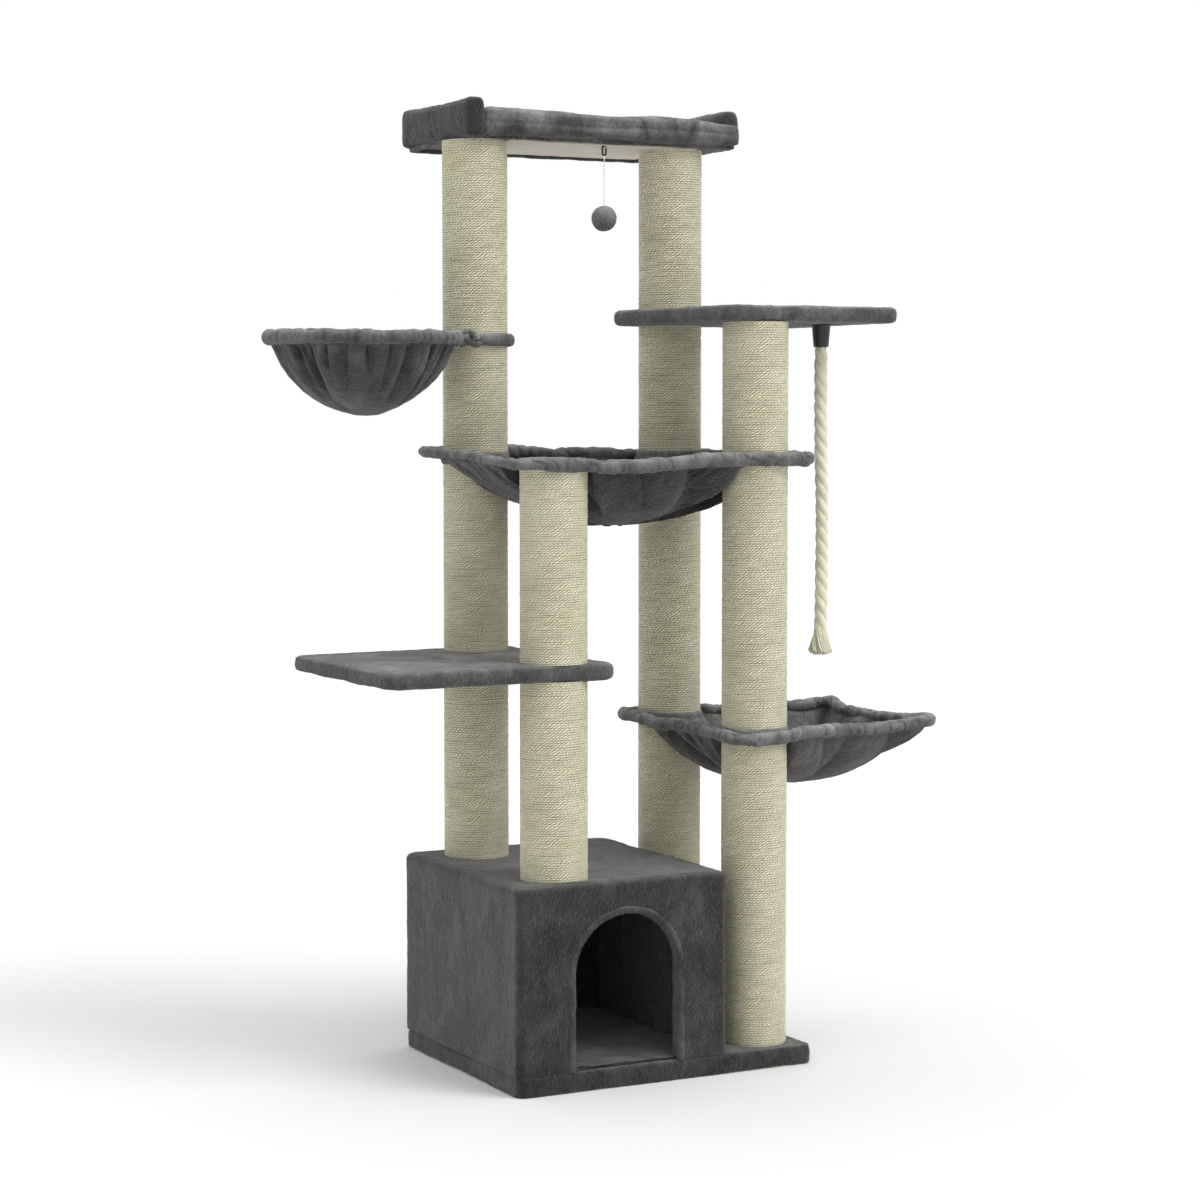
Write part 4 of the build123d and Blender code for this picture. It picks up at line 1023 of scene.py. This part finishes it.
middle_bag = framed_hammock(
    "middle_hammock", middle_path, middle_line, (thin_at_left, 2.6 * MM), (1.3, 0.021), middle_posts,
    (m_low[:2] + m_high[:2]) / 2, 0.978, np.radians(60),
    [(11, 26 * MM, 60 * MM, 1.5, 0.7), (17, 12 * MM, 26 * MM, 1.0, 0.4), (40, 5 * MM, 11 * MM, 0.35, 0)],
    400, DARK, 7 * MM)

# lower hammock
l_low, l_high = node_box("lower_hammock_sleeve")
lower_mid = (l_low[2] + l_high[2]) / 2
SHOULDER_X, TIP_Y, BOW = 0.3, 0.188, 0.036
tip_x, side_y, left_x = l_high[0] - RIM_IN + 2 * MM, l_high[1] - RIM_IN, l_low[0] + RIM_IN
tip_y, bow_x = TIP_Y - RIM_IN, l_high[0] - BOW - RIM_IN
front_half = [(left_x, -side_y, 24 * MM), (SHOULDER_X, -side_y, 0.2), (tip_x, -tip_y, 9 * MM),
              (tip_x - 0.8 * BOW, -tip_y / 2, 0.1)]
corners = front_half + [(bow_x, 0, 0.2)] + [(x, -y, radius) for x, y, radius in front_half[::-1]]
lower_path = rounded_polygon([corner[:2] for corner in corners], [corner[2] for corner in corners])
rim_x, rim_y = lower_path.T
wave = noise(lift(lower_path, 0), 0.075, 501)
tips = hump(rim_x, tip_x, 0.05) * hump(np.abs(rim_y), tip_y, 0.05)
sag = 5 * MM * smoothstep(-rim_y, 0.1, 0.2) * hump(rim_x, 0.2, 0.09)
lower_line = np.column_stack((rim_x, rim_y + 2 * MM * wave,
                              lower_mid + 4.5 * MM * wave + 8 * MM * tips - sag))
lower_bag = framed_hammock(
    "lower_hammock", lower_path, lower_line, (RIM_R - 0.6 * MM, 2.2 * MM), (1.5, 0.019),
    [(RIGHT_X, -POST_Y), (RIGHT_X, POST_Y)], np.array((0.355, 0)), 0.484, np.radians(72),
    [(9, 24 * MM, 60 * MM, 1.5, 0.6), (15, 12 * MM, 28 * MM, 1.0, 0.4), (40, 5 * MM, 11 * MM, 0.3, 0)], 500)

# round hammock
c_low, c_high = node_box("round_hammock_collar_cover")
b_low, b_high = node_box("round_hammock_bag")
RING_CENTRE = (b_low[:2] + b_high[:2]) / 2
RING_R = 166 * MM
COLLAR_CENTRE = (c_low[:2] + c_high[:2]) / 2
COLLAR_R = (c_high[0] - c_low[0]) / 2 + 5 * MM
ring_z = (c_low[2] + c_high[2]) / 2
ring_flat = circle(RING_CENTRE, RING_R, 280)
wave = noise(lift(ring_flat, 0), 0.06, 601)
round_line = np.column_stack((ring_flat, ring_z + 1.5 * MM * wave))
round_rim = rim("round_hammock_rim", round_line, RIM_R, 3 * MM, 610, 1.0, 0.018)
collar = lobes("round_hammock_disc", [COLLAR_CENTRE], (c_low[2], c_high[2]), COLLAR_R, 620, 12 * MM, 0.85)


def stretch(name, start, way, span, radius, lumps, seed):
    """A straight stretch of sleeve at the ring's height; span is its (first metre, last metre, rings)."""
    path = lift(start + np.linspace(*span)[:, None] * way, ring_z)
    piece = tube(f"round_hammock_{name}", path, (radius, radius), 30, closed=False)
    return ripple(piece, (lumps[0] * MM, 20 * MM, seed), (lumps[1] * MM, 8 * MM, seed + 1))


def heading(start, end):
    """The direction and distance between two flat points."""
    distance = np.linalg.norm(end - start)
    return (end - start) / distance, distance


KNOT_TURN = np.radians(-14)  # where the sleeve's spare end is knotted, then led back to the collar
to_knot = np.array((np.cos(KNOT_TURN), np.sin(KNOT_TURN)))
KNOT_REACH = RING_R + 25 * MM
knot_at = RING_CENTRE + KNOT_REACH * to_knot
to_post, _ = heading(RING_CENTRE, COLLAR_CENTRE)
to_collar, collar_gap = heading(knot_at, COLLAR_CENTRE)
knot = [
    stretch("arm", RING_CENTRE, to_post, (RING_R - 6 * MM, RING_R + 38 * MM, 18), 11.5 * MM, (1.5, 0.8), 630),
    stretch("strap", knot_at, to_collar, (-4 * MM, collar_gap - 62 * MM, 20), 9 * MM, (1.2, 0.7), 633),
    stretch("spare", RING_CENTRE, to_knot, (0.8 * KNOT_REACH, KNOT_REACH, 16), 11 * MM, (1.2, 0.7), 638),
]
across_knot, along_strap = np.array((to_collar[1], -to_collar[0], 0)), np.append(to_collar, 0)
turn = full_turn(60)[:, None]
for k, (shift, slope) in enumerate(((-8 * MM, 0.5), (8 * MM, -0.6))):
    wrap = np.append(knot_at, ring_z) + (shift + 10 * MM * np.cos(turn)) * across_knot \
        + 9 * MM * (np.sin(turn) + slope * np.cos(turn)) * UP \
        + 6 * MM * (np.sign(slope) * np.cos(turn) - 1) * along_strap
    knot.append(rim(f"round_hammock_knot_{k}", wrap, 6.4 * MM, 1.4 * MM, 635 + k))
dress(join("round_hammock_plush", [round_rim, *knot]), "grey_plush", ["round_hammock_sleeve"], look=PALE)
dress(collar, "grey_plush", ["round_hammock_collar_cover"], look=SILVER)
round_bag = bag("round_hammock_cloth", RING_CENTRE, np.full(len(ANGLES), RING_R + 3 * MM), ring_z - 2 * MM,
                b_low[2], np.radians(70),
                [(27, 20 * MM, 19 * MM, 0.7, 0.05), (9, 12 * MM, 34 * MM, 1.1, 0.15),
                 (48, 7 * MM, 9 * MM, 0.3, 0)], 640)
dress(round_bag, "grey_plush", ["round_hammock_bag"])


# ------------------------ perch
p_low, p_high = node_box("perch_cover")
DECK_IN = 14 * MM  # the stuffed bars wrap round the deck's edges
deck = plush_plate("perch_deck", rounded_rect(p_low[:2] + DECK_IN, p_high[:2] - DECK_IN, 12 * MM), p_low[2],
                   p_high[2], 6 * MM)
ripple(deck, (1.5 * MM, 0.07, 700), (0.4 * MM, 0.012, 701))
LINING_X = (-0.15, 0.245)  # the pale cloth is a panel between the posts; plush goes round its ends
li_low, li_high = node_box("perch_lining")
lining_z = li_low[2] - 2.6 * MM
lining_outline = rounded_rect((LINING_X[0], li_low[1] + 6 * MM), (LINING_X[1], li_high[1] - 8 * MM), 8 * MM)
lining = plush_plate("perch_underside", lining_outline, lining_z, lining_z + 5 * MM, 1.5 * MM)
ripple(lining, (0.6 * MM, 0.06, 705), (0.25 * MM, 0.015, 706))
dress(lining, "pale_lining", ["perch_lining"])

END_ROUND, ROUNDNESS = 14 * MM, 2.6  # how far a roll's ends round over, and how fully


def soft_bar(name, low, high, power):
    """A stuffed roll: a full rounded section along its longest side, closed softly at both ends."""
    size, middle = high - low, (low + high) / 2
    long_axis = int(np.argmax(size[:2]))
    cross = 1 - long_axis
    length, wide, tall = size[long_axis], size[cross] / 2, size[2] / 2
    angle = full_turn(72)
    shape_x, shape_z = (np.sign(wave) * np.abs(wave) ** power for wave in (np.cos(angle), np.sin(angle)))
    first = END_ROUND * (1 - np.cos(np.linspace(0, np.pi / 2, 9)))
    between = np.arange(END_ROUND, length - END_ROUND, 5 * MM)
    stations = np.unique(np.concatenate((first, between, length - first)))
    rings = []
    for at in stations:
        end = max(0.0, 1 - min(at, length - at) / END_ROUND)
        inset = END_ROUND * (1 - (1 - end**ROUNDNESS) ** (1 / ROUNDNESS))
        ring = np.zeros((len(angle), 3))
        ring[:, long_axis] = low[long_axis] + at
        ring[:, cross] = middle[cross] + shape_x * max(wide - inset, 2 * MM)
        ring[:, 2] = middle[2] + shape_z * max(tall - inset, 2 * MM)
        rings.append(ring[::-1] if long_axis == 1 else ring)
    piece = ring_surface(name, rings)
    if sum(f.normal.dot(Vector(f.center) - Vector(middle)) for f in piece.data.polygons[:200]) < 0:
        piece.data.flip_normals()
    return piece


CELL, PRESSURE, SWELL_LIMIT, SWELL_FRAMES = 5 * MM, 4.0, 4 * MM, 20


def inflate(piece):
    """Lets a stuffed piece swell under its filling, each point staying near where it was sewn."""
    cells = piece.modifiers.new("cells", "REMESH")
    cells.mode = "VOXEL"
    cells.voxel_size = CELL
    bake(piece)
    start = points_of(piece)
    cloth = piece.modifiers.new("swell", "CLOTH").settings
    cloth.quality = 5
    cloth.mass = 0.2
    cloth.tension_stiffness = cloth.compression_stiffness = 12
    cloth.bending_stiffness = 0.8
    cloth.use_pressure = True
    cloth.uniform_pressure_force = PRESSURE
    cloth.effector_weights.gravity = 0
    for number in range(1, SWELL_FRAMES + 1):
        scene.frame_set(number)
    bake(piece)
    move = points_of(piece) - start
    far = np.maximum(np.linalg.norm(move, axis=1) / SWELL_LIMIT, 1)[:, None]
    set_points(piece, start + move / far)
    scene.frame_set(1)
    finer = piece.modifiers.new("finer", "SUBSURF")
    finer.levels = 1
    return bake(piece)


def perch_bar(name, low, high, power, seed, look=None, seam=None, shape=None):
    """A stuffed roll round the perch, from corner to corner; shape may change its points before it swells.

    seam is (height, first x, last x) of the sewn line on its front."""
    bar = soft_bar(f"{name}_plush", np.array(low), np.array(high), power)
    if shape:
        set_points(bar, shape(points_of(bar)))
    bar = inflate(bar)
    if seam:
        co, no = points_of(bar), normals_of(bar)
        height, first, last = seam
        line = height + 1.5 * MM * noise(co * (1, 0, 0), 0.05, seed + 4)
        stitched = hump(co[:, 2], line, 2.2 * MM) * (no[:, 1] < -0.3)
        stitched *= smoothstep(co[:, 0], first, first + 0.02) * (1 - smoothstep(co[:, 0], last, last + 0.03))
        set_points(bar, co - no * (2.6 * MM * stitched * (0.7 + 0.4 * noise(co, 0.03, seed + 5)))[:, None])
    ripple(bar, (2 * MM, 0.08, seed), (0.9 * MM, 0.028, seed + 1), (0.5 * MM, 0.008, seed + 2))
    crease(bar, 1.2 * MM, 0.05, seed + 3, 6)
    dress(bar, "grey_plush", [name], look=look)


left_high, rail_high = node_box("perch_left_bolster")[1], node_box("perch_front_rail")[1]
bolster_w, bolster_top = left_high[0] - p_low[0], left_high[2]
rail_w, rail_top = rail_high[1] - p_low[1], rail_high[2]
under = p_low[2] + 2.5 * MM
rail_left, rail_right = p_low[0] + bolster_w - 3 * MM, p_high[0] - bolster_w + 3 * MM
FRONT_GAP = 15 * MM  # the right bolster stands back so that the front rail can wrap over its end
WRAP_END = p_high[0] - 10 * MM


def wrap_over(points):
    """The front rail gets lower and thinner where it wraps over the right bolster's end."""
    x, y, z = points.T
    lower = smoothstep(x, rail_right - 60 * MM, WRAP_END)
    thin = smoothstep(x, rail_right - 22 * MM, rail_right)
    return np.column_stack((x, p_low[1] + (y - p_low[1]) * (1 - 0.6 * thin),
                            under + 3 * MM * lower + (z - under) * (1 - 0.26 * lower)))


perch_bar("perch_left_bolster", (p_low[0] + MM, p_low[1], p_low[2] - 0.5 * MM),
          (p_low[0] + bolster_w, p_high[1], bolster_top), 0.45, 710, DEEP)
perch_bar("perch_right_bolster", (p_high[0] - bolster_w, p_low[1] + FRONT_GAP, under + 2 * MM),
          (p_high[0] - MM, p_high[1], bolster_top), 0.6, 720)
perch_bar("perch_front_rail", (rail_left, p_low[1], under), (WRAP_END, p_low[1] + rail_w, rail_top),
          0.42, 730, PALE, (p_high[2] + 2 * MM, rail_left + 15 * MM, rail_right), wrap_over)
perch_bar("perch_back_rail", (rail_left, p_high[1] - rail_w, under), (rail_right, p_high[1] - MM, rail_top),
          0.42, 740)
HEM_IN = 16 * MM
hem_line = lift(rounded_rect(p_low[:2] + HEM_IN, p_high[:2] - HEM_IN, 10 * MM), p_low[2])
hem_line[:, 2] += 5 * MM - 8 * MM * smoothstep(hem_line[:, 1], p_low[1] + 0.1, p_high[1] - 0.02)
hem = rim("perch_hem", hem_line, 5.5 * MM, MM, 750)
dress(join("perch_deck_plush", [deck, hem]), "grey_plush", ["perch_cover", "perch_board"])


# ------------------------ floor and light
FAR = 40
floor = add_mesh("floor", [(-FAR, -FAR, 0), (FAR, -FAR, 0), (FAR, FAR, 0), (-FAR, FAR, 0)], [(0, 1, 2, 3)])
floor.location.z = -0.5 * MM
matt = Shading("floor", Roughness=0.9, Specular_IOR_Level=0.0)
# painted shadow: the floor is darker within about 2 m of the middle
painted_shadow_distance = matt.add("VectorMath", {0: matt.place((0.2, 0.2, 0.2))}, "Value", operation="LENGTH")
floor_painted_shadow_material = matt.finish(matt.ramp(painted_shadow_distance, [(0.1, 0.8), (0.36, 0.845)]))
floor.data.materials.append(floor_painted_shadow_material)


sun = bpy.data.objects.new("key", bpy.data.lights.new("key", "SUN"))
sun.data.energy = 1.4
sun.data.angle = np.radians(32)
sun.rotation_euler = Vector((-0.42, 0.56, -0.75)).to_track_quat("-Z", "Y").to_euler()
scene.collection.objects.link(sun)
world = bpy.data.worlds.new("studio")
world.use_nodes = True
world.node_tree.nodes["Background"].inputs["Color"].default_value = (1, 1, 1, 1)
world.node_tree.nodes["Background"].inputs["Strength"].default_value = 1.0
scene.world = world
